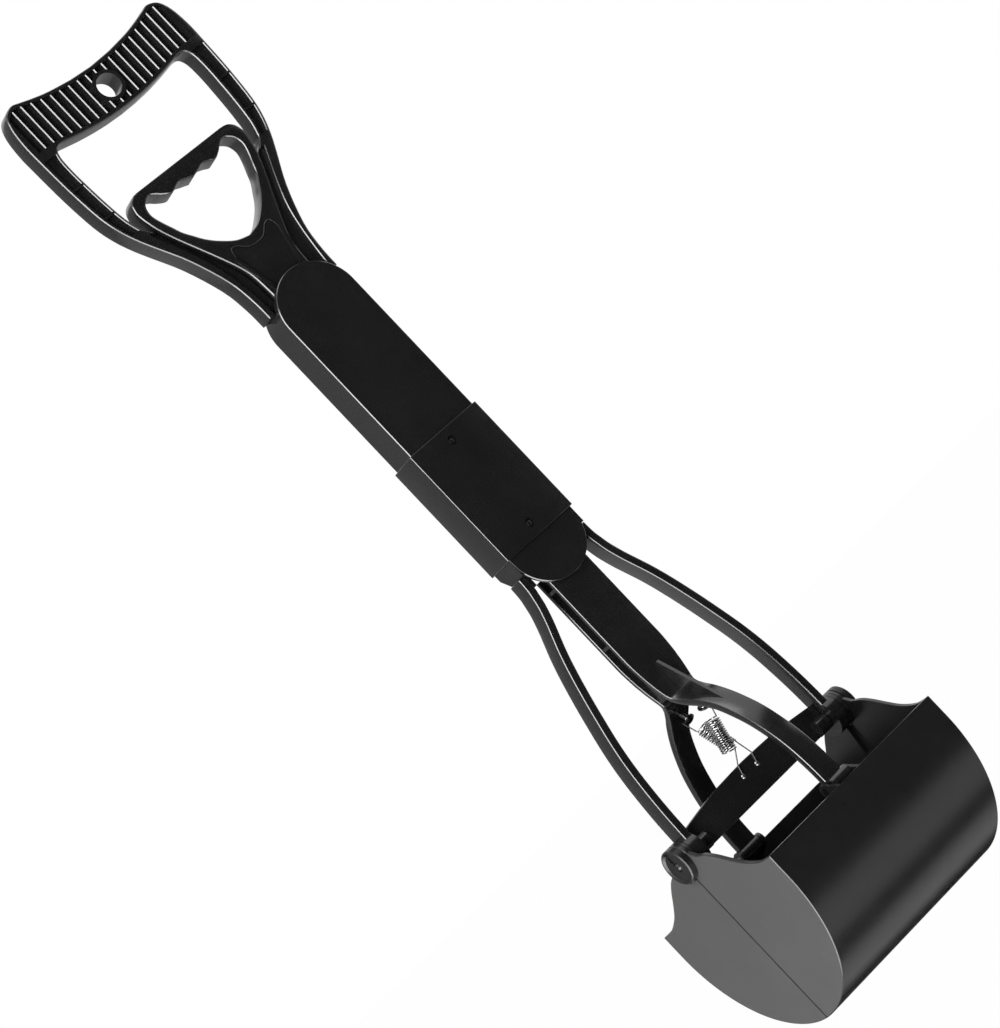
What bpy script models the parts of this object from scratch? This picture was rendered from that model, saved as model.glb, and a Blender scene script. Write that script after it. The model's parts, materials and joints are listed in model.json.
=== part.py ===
"""Folding pooper scooper, unfolded and locked, jaws closed.

Metres, +Z up. The origin is the centre of the hang hole. The ribbed front of the grip looks
along -Y and the jaws turn about an axis along X. Heights are measured up from that axis, in the
frame of the empty "jaw_hinge_line", which carries every piece.
"""

import math

import bmesh
import bpy
from mathutils import Matrix, Vector

# Clearances
SEAT_GAP = 0.0003
RUNNING_GAP = 0.0012
OVERRUN = 0.004
SMALL_OVERLAP = 0.0006

# Facets
ARC_STEP_DEGREES = 12
PIN_SEGMENTS = 16
ROUND_SEGMENTS = 28
RUN_STEPS = 2

# Handle frame: grip, two hand rails and the neck that enters the upper housing
HANG_HOLE_RADIUS = 0.00685
HANG_BOSS_WALL = 0.0020
HANG_BOSS_PROUD = 0.0003
FRAME_HALF_WIDTH = 0.0602
FRAME_DEPTH = 0.012
SHOULDER_HEIGHT = 0.338
FRAME_RISE = 0.1656
HANG_DROP = 0.0216
FRAME_EDGE_ROUND = 0.0012
RAIL_OUTER_SHARES = (
    (0.422, 0.0), (0.429, 0.074), (0.470, 0.164), (0.603, 0.288), (0.762, 0.390), (0.837, 0.440),
    (0.903, 0.496), (0.951, 0.565), (0.983, 0.680), (0.998, 0.810), (1.0, 0.876), (0.978, 0.942),
    (0.924, 0.984), (0.827, 1.0), (0.739, 0.993), (0.623, 0.981), (0.465, 0.968), (0.233, 0.9565),
)
GRIP_DIP_SHARE = 0.952
OPENING_SHARES = (
    (0.178, 0.789), (0.332, 0.794), (0.498, 0.8025), (0.623, 0.811), (0.706, 0.8164),
    (0.761, 0.8147), (0.794, 0.802), (0.812, 0.779), (0.817, 0.743), (0.8156, 0.7065),
    (0.811, 0.676), (0.796, 0.598), (0.767, 0.513), (0.719, 0.456),
)
OPENING_CREST_SHARE = 0.787
TENON_LENGTH = 0.038
GRIP_RIB_COUNT = 19
GRIP_RIB_PITCH = 0.00571
GRIP_RIB_WIDTH = 0.0010
GRIP_RECESS_DEPTH = 0.0026
GRIP_MARGIN = 0.0024
RAIL_RIB_SHARES = (0.456, 0.551, 0.677, 0.8025)
RAIL_RIB_WIDTH = 0.0012
RAIL_LIP = 0.0020
RAIL_RECESS_DEPTH = 0.0022
RIDGE_INNER_SHARES = (
    (0.352, 0.0), (0.372, 0.072), (0.407, 0.157), (0.465, 0.242), (0.565, 0.326), (0.648, 0.386),
    (0.706, 0.429),
)
RAIL_LEDGE_DROP = 0.0026

# Trigger: finger ring and stem
TRIGGER_RISE = 0.0921
TRIGGER_HALF_WIDTH = 0.0400
TRIGGER_DEPTH = 0.012
TRIGGER_EDGE_ROUND = 0.0012
STEM_NECK_RISE = 0.010
STEM_HALF_WIDTH = 0.0146
STEM_SHANK_HALF_WIDTH = 0.011
STEM_SHANK_DROP = 0.008
STEM_SHOULDER_RISE = 0.0018
RING_FLARE_SHARES = (
    (0.0, 0.0), (0.039, 0.146), (0.134, 0.244), (0.295, 0.353), (0.492, 0.475), (0.693, 0.597),
    (0.819, 0.682), (0.917, 0.761), (0.988, 0.853), (0.996, 0.901), (0.937, 0.957), (0.811, 0.991),
    (0.646, 1.0),
)
RING_FLARE_SEATED = 7
FINGER_TOP_DROP = 0.0051
FINGER_FLOOR_RISE = 0.0398
FINGER_HALF_WIDTH = 0.0338
FINGER_SHARES = (
    (0.231, 0.047), (0.447, 0.153), (0.602, 0.258), (0.712, 0.364), (0.814, 0.470), (0.879, 0.576),
    (0.944, 0.682), (0.997, 0.794), (0.994, 0.873), (0.947, 0.945), (0.828, 1.0), (0.725, 0.975),
    (0.621, 0.919), (0.479, 0.871), (0.367, 0.898), (0.251, 0.919), (0.124, 0.894),
)
FINGER_CREST_SHARE = 0.8665
STEM_RIB_WIDTH = 0.0018
STEM_RIB_PROUD = 0.0008
STEM_RIB_TOP_RISE = 0.0340
STEM_RIB_BASE_RISE = 0.0125
STEM_RIB_TOP_X = 0.0165
STEM_RIB_BASE_X = 0.0112
STEM_PANEL_BASE_RISE = 0.0020
STEM_PANEL_DEPTH = 0.0006
STEM_PANEL_SHARES = (
    (0.0, 0.86), (0.30, 0.875), (0.62, 0.985), (0.84, 1.0), (0.93, 0.90), (0.90, 0.72),
)

# Housings and fold joint
HOUSING_HALF_WIDTH = 0.0239
HOUSING_HALF_DEPTH = 0.0105
HOUSING_WALL = 0.0030
UPPER_PLATE_THICKNESS = 0.0042
UPPER_DISC_DROP = 0.0111
UPPER_FLOOR_RISE = 0.0117
LOWER_PLATE_THICKNESS = 0.0022
LOWER_DISC_DROP = 0.0023
LOWER_PLATE_DROP = 0.0121
LOWER_WALL_DROP = 0.0101
LOWER_WALL_SLOPE = 0.006
FOLD_MIDDLE_HEIGHT = 0.2033
EAR_INSET = 0.0001
SIDE_LINK_THICKNESS = 0.0032
RIVET_RADIUS = 0.0030
RIVET_HEAD_RADIUS = 0.0046
RIVET_HEAD_THICKNESS = 0.0012
CENTRE_LINK_HALF_WIDTH = 0.0095
CENTRE_LINK_RADIUS = 0.0054
TONGUE_HALF_WIDTH = 0.0037
TONGUE_RADIUS = 0.0051
TONGUE_REACH = 0.0085
CENTRE_PIN_RADIUS = 0.0020

# Locking sleeve and its detent buttons
SLEEVE_WALL = 0.0010
SLEEVE_LENGTH = 0.0714
SLEEVE_CORNER = 0.0006
SLEEVE_HOLE_RADIUS = 0.0028
DETENT_INSET = 0.0073
DETENT_RADIUS = 0.0019
DETENT_DOME = 0.0009
DETENT_SHANK = 0.0016

# Yoke arms
ARM_DEPTH = 0.012
ARM_FORWARD = 0.0012
ARM_THICKNESS = 0.0048
ARM_EDGE_ROUND = 0.0009
ARM_TOP_SPREAD = 0.0234
ARM_SHARES = (
    (0.0, 1.0), (0.012, 0.955), (0.043, 0.922), (0.078, 0.891), (0.130, 0.859), (0.189, 0.827),
    (0.245, 0.800), (0.373, 0.737), (0.491, 0.667), (0.612, 0.584), (0.711, 0.508), (0.817, 0.419),
    (0.891, 0.337), (0.941, 0.254), (0.978, 0.159), (0.994, 0.076), (1.0, 0.0),
)
ARM_TAB_THICKNESS = 0.0018
ARM_TAB_DROP = 0.0077
EYE_RADIUS = 0.0102
EYE_BOSS_REACH = 0.0044

# Jaw hinge: ears, pins and caps
EAR_THICKNESS = 0.0020
HINGE_PIN_RADIUS = 0.0024
HINGE_TIP_RADIUS = 0.0017
CAP_RADIUS = 0.0102
CAP_THICKNESS = 0.0040
CAP_STEP = 0.0012
CAP_STEP_DEPTH = 0.0009
CAP_SLOT_DEPTH = 0.0015
CAP_SLOT_SHARES = ((-0.16, 0.30), (-0.34, 0.86), (0.12, 0.92), (0.16, 0.30))

# Cross bar with its bored end bosses
BAR_THICKNESS = 0.0022
BAR_FRONT_Y = -0.0012
BAR_BOTTOM = -0.0042
BAR_TOP = 0.0108
BAR_BOW = 0.0044
BAR_SHOULDER_SHARE = 0.75
BAR_BOSS_RADIUS = 0.0046
BAR_BOSS_LENGTH = 0.0080
BAR_BORE_DEPTH = 0.0060
BAR_HOLE_RADIUS = 0.0013
BAR_HOLE_X = 0.0055
BAR_HOLE_HEIGHT = 0.0092

# Jaws
JAW_HALF_LENGTH = 0.0648
JAW_RADIUS = 0.0670
JAW_CENTRE_HEIGHT = -0.0370
JAW_RIM_HEIGHT = -0.0236
JAW_WALL = 0.0022
JAW_TOP_SHARES = (
    (0.836, 0.970), (0.672, 0.797), (0.540, 0.555), (0.433, 0.335), (0.328, 0.160), (0.222, 0.064),
)
JAW_OPEN_DEGREES = 35
NOTCH_COUNT = 7
NOTCH_END_INSET = 0.0131
NOTCH_HALF_WIDTH = 0.0046
NOTCH_DEPTH = 0.0070
NOTCH_SHARES = ((1.0, 0.0), (0.62, 0.62), (0.34, 0.92), (0.0, 1.0))
DOUBLER_REACH = 0.0270
DOUBLER_SPREAD_DEGREES = (-78, -22)
DOUBLER_EASE_DEGREES = 2

# Pins of the wishbone feet and their brackets on the jaws
FOOT_PIN_INSET = 0.0135
FOOT_PIN_HEIGHT = -0.0220
FOOT_PIN_RADIUS = 0.0017
FOOT_WALL = 0.0013
FOOT_SLOT_PLAY = 0.0007
FOOT_PROUD = 0.0002
BRACKET_THICKNESS = 0.0022
BRACKET_RADIUS = 0.0038
BRACKET_FALL_SHARE = 2.2

# Pull rod and wishbone
ROD_HALF_WIDTH = 0.0135
ROD_HALF_DEPTH = 0.0060
ROD_FORWARD = 0.0013
ROD_FLANGE = 0.0026
ROD_STRAP_DROP = 0.0426
ROD_NOTCH_DEPTH = 0.0045
ROD_CORE_HALF_WIDTH = 0.0086
ROD_CORE_BOTTOM = 0.0635
ROD_RIB_THICKNESS = 0.0018
ROD_RIB_HEIGHTS = (0.0650, 0.1027, 0.1415)
ROD_RIB_INSET = 0.0005
TAPER_TOP = 0.0900
ARM_STRAP_HALF_WIDTH = 0.0062
ARM_STRAP_THICKNESS = 0.0046
WISHBONE_SHARES = (
    (0.0, 1.0), (0.0, 0.80), (0.004, 0.768), (0.020, 0.745), (0.078, 0.719), (0.180, 0.6875),
    (0.297, 0.657), (0.471, 0.598), (0.613, 0.530), (0.746, 0.450), (0.846, 0.365), (0.920, 0.280),
    (0.965, 0.195), (0.990, 0.110), (0.998, 0.042), (1.0, 0.0),
)
STRAP_TAPER_SHARES = (
    (0.0, 0.0), (0.038, 0.04), (0.077, 0.10), (0.115, 0.19), (0.154, 0.315), (0.192, 0.475),
    (0.220, 0.61), (0.251, 0.72), (0.298, 0.82), (0.349, 0.92), (0.432, 1.0), (1.0, 1.0),
)
STRAP_THICKEN_SHARES = ((0.0, 0.0), (0.190, 0.0), (0.270, 0.6), (0.350, 1.0), (1.0, 1.0))
WEB_HALF_WIDTH = 0.0009
WEB_TOP = 0.0810
WEB_FOOT = 0.0390
WEB_PROUD = 0.0010
WEB_FOOT_REACH = 0.0018

# Spring anchors and springs
ANCHOR_SHARE = 0.30
ANCHOR_RADIUS = 0.0013
ANCHOR_REACH = 0.0055
ANCHOR_DEPTH = 0.0018
ANCHOR_HEAD_RADIUS = 0.0032
ANCHOR_HEAD_THICKNESS = 0.0015
SPRING_WIRE_RADIUS = 0.00038
SPRING_COIL_RADIUS = 0.0038
SPRING_CURLS = 15
SPRING_HALF_TURN = 0.5
SPRING_POINTS_PER_CURL = 8
SPRING_PITCH = 0.00122
SPRING_COIL_TOP = 0.0410
SPRING_TAIL_LEAN = 0.0016
SPRING_HOOK_POINTS = 9
SPRING_HOOK_DEGREES = 250

# Colours
BLACK_PLASTIC = (0.020, 0.020, 0.021, 1.0)
GREY_PLASTIC = (0.045, 0.045, 0.046, 1.0)
STEEL = (0.62, 0.62, 0.63, 1.0)
DARK_STEEL = (0.05, 0.05, 0.052, 1.0)


def clear_scene():
    for obj in list(bpy.data.objects):
        bpy.data.objects.remove(obj, do_unlink=True)


clear_scene()
parts = bpy.data.collections.new("pooper_scooper")
cutters = bpy.data.collections.new("cutters")
bpy.context.scene.collection.children.link(parts)
bpy.context.scene.collection.children.link(cutters)


def material(name, colour, roughness, metallic):
    made = bpy.data.materials.new(name)
    made.use_nodes = True
    shader = made.node_tree.nodes["Principled BSDF"]
    shader.inputs["Base Color"].default_value = colour
    shader.inputs["Roughness"].default_value = roughness
    shader.inputs["Metallic"].default_value = metallic
    return made


black_plastic = material("black_plastic", BLACK_PLASTIC, 0.45, 0.0)
grey_plastic = material("scoop_plastic", GREY_PLASTIC, 0.38, 0.0)
bright_steel = material("bright_steel", STEEL, 0.25, 1.0)
dark_steel = material("dark_steel", DARK_STEEL, 0.35, 1.0)


def empty(name, parent=None):
    """A marker on a joint axis. Every joint axis meets the middle of the jaw hinge line."""
    made = bpy.data.objects.new(name, None)
    parts.objects.link(made)
    made.parent = parent
    return made


frame_top = SHOULDER_HEIGHT + FRAME_RISE
hang_height = frame_top - HANG_DROP

hinge_line = empty("jaw_hinge_line")
hinge_line.location = (0, 0, -hang_height)
trigger_axis = empty("trigger_axis", hinge_line)
sleeve_axis = empty("sleeve_axis", hinge_line)
front_jaw_axis = empty("front_jaw_axis", hinge_line)
back_jaw_axis = empty("back_jaw_axis", hinge_line)

PLANES = {
    "XY": Matrix.Identity(4),
    "XZ": Matrix.Rotation(math.radians(90), 4, "X"),
    "YZ": Matrix.Rotation(math.radians(90), 4, "Z") @ Matrix.Rotation(math.radians(90), 4, "X"),
}


def add(mesh, name, parent, finish, tool=False):
    made = bpy.data.objects.new(name, mesh)
    (cutters if tool else parts).objects.link(made)
    made.parent = parent
    made.hide_render = tool
    made.display_type = "WIRE" if tool else "TEXTURED"
    if finish:
        mesh.materials.append(finish)
    return made


def smooth(obj, degrees=35):
    obj.data.shade_smooth()
    obj.data.set_sharp_from_angle(angle=math.radians(degrees))


def plate(name, outlines, thickness, plane, parent=hinge_line, finish=None, tool=False,
          middle=0.0, edge_round=0.0):
    """A flat outline, holes after it, as thick as given about the middle of its own plane."""
    curve = bpy.data.curves.new(name + "_outline", "CURVE")
    curve.dimensions = "2D"
    curve.fill_mode = "BOTH"
    curve.extrude = thickness / 2 - edge_round
    curve.bevel_depth = edge_round
    curve.bevel_resolution = 0
    curve.offset = -edge_round
    for points in outlines:
        spline = curve.splines.new("POLY")
        spline.points.add(len(points) - 1)
        for slot, (x, y) in zip(spline.points, points):
            slot.co = (x, y, 0, 1)
        spline.use_cyclic_u = True
    guide = bpy.data.objects.new(name + "_outline", curve)
    cutters.objects.link(guide)
    bpy.context.view_layer.update()
    graph = bpy.context.evaluated_depsgraph_get()
    mesh = bpy.data.meshes.new_from_object(guide.evaluated_get(graph))
    bpy.data.objects.remove(guide, do_unlink=True)
    shape = bmesh.new()
    shape.from_mesh(mesh)
    bmesh.ops.remove_doubles(shape, verts=shape.verts, dist=SEAT_GAP / 100)
    bmesh.ops.recalc_face_normals(shape, faces=shape.faces)
    shape.to_mesh(mesh)
    shape.free()
    mesh.materials.clear()
    made = add(mesh, name, parent, finish, tool)
    normal = PLANES[plane] @ Vector((0, 0, 1))
    made.matrix_local = Matrix.Translation(normal * middle) @ PLANES[plane]
    if edge_round:
        smooth(made)
    return made


def block(name, low, high, parent=hinge_line, finish=None, tool=False):
    """A box between two corners."""
    shape = bmesh.new()
    bmesh.ops.create_cube(shape, size=1)
    size = [b - a for a, b in zip(low, high)]
    bmesh.ops.scale(shape, vec=size, verts=shape.verts)
    mesh = bpy.data.meshes.new(name)
    shape.to_mesh(mesh)
    shape.free()
    made = add(mesh, name, parent, finish, tool)
    made.location = [(a + b) / 2 for a, b in zip(low, high)]
    return made


def cylinder(name, radius, start, end, parent=hinge_line, finish=None, tool=False,
             segments=PIN_SEGMENTS):
    """A round bar from start to end."""
    start, end = Vector(start), Vector(end)
    run = end - start
    shape = bmesh.new()
    bmesh.ops.create_cone(shape, cap_ends=True, segments=segments, radius1=radius, radius2=radius,
                          depth=run.length)
    mesh = bpy.data.meshes.new(name)
    shape.to_mesh(mesh)
    shape.free()
    made = add(mesh, name, parent, finish, tool)
    turn = run.to_track_quat("Z", "Y").to_matrix().to_4x4()
    made.matrix_local = Matrix.Translation((start + end) / 2) @ turn
    smooth(made)
    return made


def turned(name, profile, base, direction, parent=hinge_line, finish=None, segments=PIN_SEGMENTS):
    """A profile of (radius, height) from its top down, turned about a line through base."""
    mesh = bpy.data.meshes.new(name)
    shape = bmesh.new()
    verts = [shape.verts.new((radius, 0, height)) for radius, height in profile]
    for first, second in zip(verts, verts[1:]):
        shape.edges.new((first, second))
    shape.to_mesh(mesh)
    shape.free()
    made = add(mesh, name, parent, finish)
    screw = made.modifiers.new("turn", "SCREW")
    screw.axis = "Z"
    screw.steps = screw.render_steps = segments
    screw.use_merge_vertices = True
    screw.merge_threshold = SEAT_GAP / 100
    screw.use_smooth_shade = False
    turn = Vector(direction).to_track_quat("Z", "Y").to_matrix().to_4x4()
    made.matrix_local = Matrix.Translation(base) @ turn
    return made


def boolean(target, other, operation):
    change = target.modifiers.new(other.name, "BOOLEAN")
    change.operation = operation
    change.solver = "EXACT"
    change.object = other


def cut(target, *tools):
    for other in tools:
        boolean(target, other, "DIFFERENCE")


def join(target, *tools):
    for other in tools:
        boolean(target, other, "UNION")


def smooth_run(points, steps=RUN_STEPS):
    """A Catmull-Rom run through points, with its two ends kept."""
    ends = [points[0]] + list(points) + [points[-1]]
    run = []
    for p0, p1, p2, p3 in zip(ends, ends[1:], ends[2:], ends[3:]):
        for step in range(steps):
            t = step / steps
            run.append(tuple(
                (2 * b + (c - a) * t + (2 * a - 5 * b + 4 * c - d) * t * t
                 + (3 * b - a - 3 * c + d) * t * t * t) / 2
                for a, b, c, d in zip(p0, p1, p2, p3)))
    return run + [tuple(points[-1])]


def arc(centre, radius, start, end, step=ARC_STEP_DEGREES):
    """Points from start to end, in degrees, both ends included."""
    count = max(2, math.ceil(abs(end - start) / step))
    angles = [math.radians(start + (end - start) * i / count) for i in range(count + 1)]
    return [(centre[0] + radius * math.cos(a), centre[1] + radius * math.sin(a)) for a in angles]


def mirrored(half):
    """A closed outline from a half that starts and ends on the middle line or beside it."""
    return list(half) + [(-x, y) for x, y in reversed(half) if x != 0]


def shared(shares, half_width, bottom, top):
    return [(x * half_width, bottom + y * (top - bottom)) for x, y in shares]


def at_height(run, height):
    """The x of a run at a height, where the run climbs or falls steadily."""
    for (x0, y0), (x1, y1) in zip(run, run[1:]):
        if min(y0, y1) <= height <= max(y0, y1) and y0 != y1:
            return x0 + (x1 - x0) * (height - y0) / (y1 - y0)
    nearest = min(run, key=lambda point: abs(point[1] - height))
    return nearest[0]


def at_x(run, x):
    """The height of a run at an x, with the run taken as even about the middle."""
    return at_height([(y, px) for px, y in run], abs(x))


def offset_run(run, distance):
    """The run moved sideways, to its left for a positive distance."""
    moved = []
    for index, (x, y) in enumerate(run):
        x0, y0 = run[max(index - 1, 0)]
        x1, y1 = run[min(index + 1, len(run) - 1)]
        length = math.hypot(x1 - x0, y1 - y0)
        moved.append((x - (y1 - y0) / length * distance, y + (x1 - x0) / length * distance))
    return moved


def stadium(first, second, radius):
    """A round-ended outline about two centres."""
    angle = math.degrees(math.atan2(second[1] - first[1], second[0] - first[0]))
    return arc(second, radius, angle - 90, angle + 90) + arc(first, radius, angle + 90, angle + 270)


# Runs that several pieces share
trigger_top = SHOULDER_HEIGHT + TRIGGER_RISE
stem_neck = SHOULDER_HEIGHT + STEM_NECK_RISE
ring_half = smooth_run([
    (STEM_HALF_WIDTH + x * (TRIGGER_HALF_WIDTH - STEM_HALF_WIDTH),
     stem_neck + y * (trigger_top - stem_neck))
    for x, y in RING_FLARE_SHARES])
rail_outer = smooth_run(shared(RAIL_OUTER_SHARES, FRAME_HALF_WIDTH, SHOULDER_HEIGHT, frame_top))
opening_run = smooth_run(shared(OPENING_SHARES, FRAME_HALF_WIDTH, SHOULDER_HEIGHT, frame_top))
ridge_run = smooth_run(shared(RIDGE_INNER_SHARES, FRAME_HALF_WIDTH, SHOULDER_HEIGHT, frame_top))
grip_dip = SHOULDER_HEIGHT + GRIP_DIP_SHARE * FRAME_RISE
opening_crest = SHOULDER_HEIGHT + OPENING_CREST_SHARE * FRAME_RISE
housing_inner_x = HOUSING_HALF_WIDTH - HOUSING_WALL
housing_inner_y = HOUSING_HALF_DEPTH - UPPER_PLATE_THICKNESS
seated_run = offset_run(ring_half[:RING_FLARE_SEATED * RUN_STEPS], -RUNNING_GAP)
stem_side_x = STEM_HALF_WIDTH + RUNNING_GAP


def make_handle_frame():
    tenon_outer = housing_inner_x - SEAT_GAP
    tenon_foot = SHOULDER_HEIGHT - TENON_LENGTH
    inner = [(0, opening_crest)] + opening_run + list(reversed(seated_run))
    half = (
        inner
        + [(stem_side_x, tenon_foot), (tenon_outer, tenon_foot), (tenon_outer, SHOULDER_HEIGHT)]
        + rail_outer
        + [(0, grip_dip)]
    )
    frame = plate("handle_frame", [mirrored(half)], FRAME_DEPTH, "XZ", finish=black_plastic,
                  edge_round=FRAME_EDGE_ROUND)
    front = -FRAME_DEPTH / 2
    cut(frame, grip_slots(front), *rail_pockets(front), *rail_ledges(front))
    boss_radius = HANG_HOLE_RADIUS + HANG_BOSS_WALL
    join(frame, cylinder("hang_boss", boss_radius, (0, front - HANG_BOSS_PROUD, hang_height),
                         (0, 0, hang_height), tool=True, segments=ROUND_SEGMENTS))
    cut(frame, cylinder("hang_hole", HANG_HOLE_RADIUS, (0, -FRAME_DEPTH, hang_height),
                        (0, FRAME_DEPTH, hang_height), tool=True, segments=ROUND_SEGMENTS))
    return frame


def prisms(name, outlines, near, far, parent=hinge_line):
    """Separate upright prisms between two values of y, as one cutter."""
    return plate(name, outlines, far - near, "XZ", parent, tool=True, middle=-(near + far) / 2)


def grip_slots(front):
    """The gaps between the grip's ribs: their ends follow the grip's two long edges."""
    shoulder = max(rail_outer, key=lambda point: point[0])
    top_run = [point for point in rail_outer if point[1] > shoulder[1]] + [(0, grip_dip)]
    low_run = [(0, opening_crest)] + opening_run
    slot_half = (GRIP_RIB_PITCH - GRIP_RIB_WIDTH) / 2
    outlines = []
    for index in range(GRIP_RIB_COUNT + 1):
        middle = (index - GRIP_RIB_COUNT / 2) * GRIP_RIB_PITCH
        left, right = middle - slot_half, middle + slot_half
        lows = [grip_low(low_run, x) + GRIP_MARGIN for x in (left, right)]
        highs = [at_x(top_run, x) - GRIP_MARGIN for x in (left, right)]
        outlines.append([(left, lows[0]), (right, lows[1]), (right, highs[1]), (left, highs[0])])
    return prisms("grip_slots", outlines, front - OVERRUN, front + GRIP_RECESS_DEPTH)


def grip_low(low_run, x):
    """The opening's top edge, level beyond its corner."""
    corner = max(low_run, key=lambda point: point[1])
    return corner[1] if abs(x) > corner[0] else at_x(low_run, x)


def rail_pockets(front):
    """The shallow channels on the rails, broken by cross ribs."""
    levels = [SHOULDER_HEIGHT + share * FRAME_RISE for share in RAIL_RIB_SHARES]
    crest = opening_run.index(max(opening_run, key=lambda point: point[1]))
    side_run = opening_run[crest:]
    made = []
    for side in (-1, 1):
        outlines = []
        for low, high in zip(levels, levels[1:]):
            heights = [low + RAIL_RIB_WIDTH / 2, (low + high) / 2, high - RAIL_RIB_WIDTH / 2]
            outer = [(at_height(rail_outer, h) - RAIL_LIP, h) for h in heights]
            inner = [(at_height(side_run, h) + RAIL_LIP, h) for h in heights]
            outlines.append([(side * x, h) for x, h in outer + list(reversed(inner))])
        made.append(prisms("rail_pockets", outlines, front - OVERRUN, front + RAIL_RECESS_DEPTH))
    return made


def rail_ledges(front):
    """The lower rails drop to a ledge inside their outer ridge."""
    top = ridge_run[-1][1]
    foot = SHOULDER_HEIGHT - OVERRUN
    inside = [(stem_side_x - OVERRUN, top), (stem_side_x - OVERRUN, foot), (ridge_run[0][0], foot)]
    made = []
    for side in (-1, 1):
        outline = [(side * x, h) for x, h in ridge_run + inside]
        made.append(prisms("rail_ledge", [outline], front - OVERRUN, front + RAIL_LEDGE_DROP))
    return made


def make_trigger():
    shank_foot = upper_fold_height + TONGUE_REACH
    shank_top = SHOULDER_HEIGHT - STEM_SHANK_DROP
    outer = [(STEM_SHANK_HALF_WIDTH, shank_foot), (STEM_SHANK_HALF_WIDTH, shank_top),
             (STEM_HALF_WIDTH, shank_top + STEM_SHOULDER_RISE)] + ring_half
    floor = SHOULDER_HEIGHT + FINGER_FLOOR_RISE
    finger_top = trigger_top - FINGER_TOP_DROP
    finger = smooth_run(
        [(0, floor)]
        + shared(FINGER_SHARES, FINGER_HALF_WIDTH, floor, finger_top)
        + [(0, floor + FINGER_CREST_SHARE * (finger_top - floor))])
    hole = list(reversed(mirrored(finger)))
    trigger = plate("trigger", [mirrored(outer), hole], TRIGGER_DEPTH, "XZ", trigger_axis,
                    black_plastic, edge_round=TRIGGER_EDGE_ROUND)
    front = -TRIGGER_DEPTH / 2
    rib_base = SHOULDER_HEIGHT + STEM_RIB_BASE_RISE
    rib_top = SHOULDER_HEIGHT + STEM_RIB_TOP_RISE
    panel_base = SHOULDER_HEIGHT + STEM_PANEL_BASE_RISE
    panel = shared(STEM_PANEL_SHARES, STEM_RIB_TOP_X, panel_base, floor)
    panel.append((STEM_RIB_BASE_X - STEM_RIB_WIDTH / 2, panel_base))
    cut(trigger, prisms("stem_panel", [mirrored(smooth_run(panel))], front - OVERRUN,
                        front + STEM_PANEL_DEPTH, trigger_axis))
    for side in (-1, 1):
        half = STEM_RIB_WIDTH / 2
        outline = stadium((side * STEM_RIB_BASE_X, rib_base), (side * STEM_RIB_TOP_X, rib_top), half)
        join(trigger, prisms("stem_rib", [outline], front - STEM_RIB_PROUD, front + half,
                             trigger_axis))
    join(trigger, tongue("trigger_tongue", upper_fold_height, shank_foot + SMALL_OVERLAP))
    cut(trigger, pin_hole("trigger_eye", upper_fold_height))
    return trigger


def tongue(name, height, root):
    """The flat eye of a rod, from its pivot to its root."""
    outline = lobe(height, root, TONGUE_RADIUS)
    return plate(name, [outline], 2 * TONGUE_HALF_WIDTH, "YZ", trigger_axis, tool=True)


def pin_hole(name, height):
    reach = CENTRE_LINK_HALF_WIDTH + OVERRUN
    return cylinder(name, CENTRE_PIN_RADIUS + SEAT_GAP, (-reach, 0, height), (reach, 0, height),
                    trigger_axis, tool=True)


def make_upper_housing():
    radius = HOUSING_HALF_WIDTH
    outline = [(-radius, upper_floor), (radius, upper_floor)] + arc(
        (0, SHOULDER_HEIGHT - UPPER_DISC_DROP), radius, 0, 180)
    housing = plate("upper_housing", [outline], 2 * HOUSING_HALF_DEPTH, "XZ", finish=black_plastic)
    wall_top = SHOULDER_HEIGHT - SEAT_GAP
    cut(housing, block("upper_bore", (-housing_inner_x, -housing_inner_y, upper_fold_height),
                       (housing_inner_x, housing_inner_y, frame_top), tool=True))
    reach = FRAME_HALF_WIDTH
    cut(housing, block("upper_mouth", (-reach, -housing_inner_y, wall_top),
                       (reach, housing_inner_y, frame_top), tool=True))
    for side in (-1, 1):
        join(housing, ear_plate("upper_ear", side, upper_fold_height,
                                upper_floor + SMALL_OVERLAP))
    for side in (-1, 1):
        cut(housing, rivet_hole(side, upper_fold_height))
    cut(housing, detent_hole(sleeve_hole_heights[1], UPPER_PLATE_THICKNESS))
    return housing


def lobe(pivot, root, radius):
    """An outline with a round end about a pivot and a square root above or below it."""
    if root > pivot:
        return arc((0, pivot), radius, 180, 360) + [(radius, root), (-radius, root)]
    return arc((0, pivot), radius, 0, 180) + [(-radius, root), (radius, root)]


def ear_plate(name, side, pivot, root):
    """A round-ended side ear from its pivot to its root in the housing wall."""
    outline = lobe(pivot, root, HOUSING_HALF_DEPTH - EAR_INSET)
    middle = side * (HOUSING_HALF_WIDTH - HOUSING_WALL / 2)
    return plate(name, [outline], HOUSING_WALL - 2 * EAR_INSET, "YZ", tool=True, middle=middle)


def rivet_hole(side, height):
    return cylinder("rivet_hole", RIVET_RADIUS + SEAT_GAP, (0, 0, height),
                    (side * FRAME_HALF_WIDTH, 0, height), tool=True)


def detent_hole(height, plate_thickness):
    depth = min(plate_thickness + OVERRUN, DETENT_SHANK + SEAT_GAP)
    return cylinder("detent_seat", DETENT_RADIUS + SEAT_GAP,
                    (0, -HOUSING_HALF_DEPTH - OVERRUN, height),
                    (0, -HOUSING_HALF_DEPTH + depth, height), tool=True)


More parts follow.
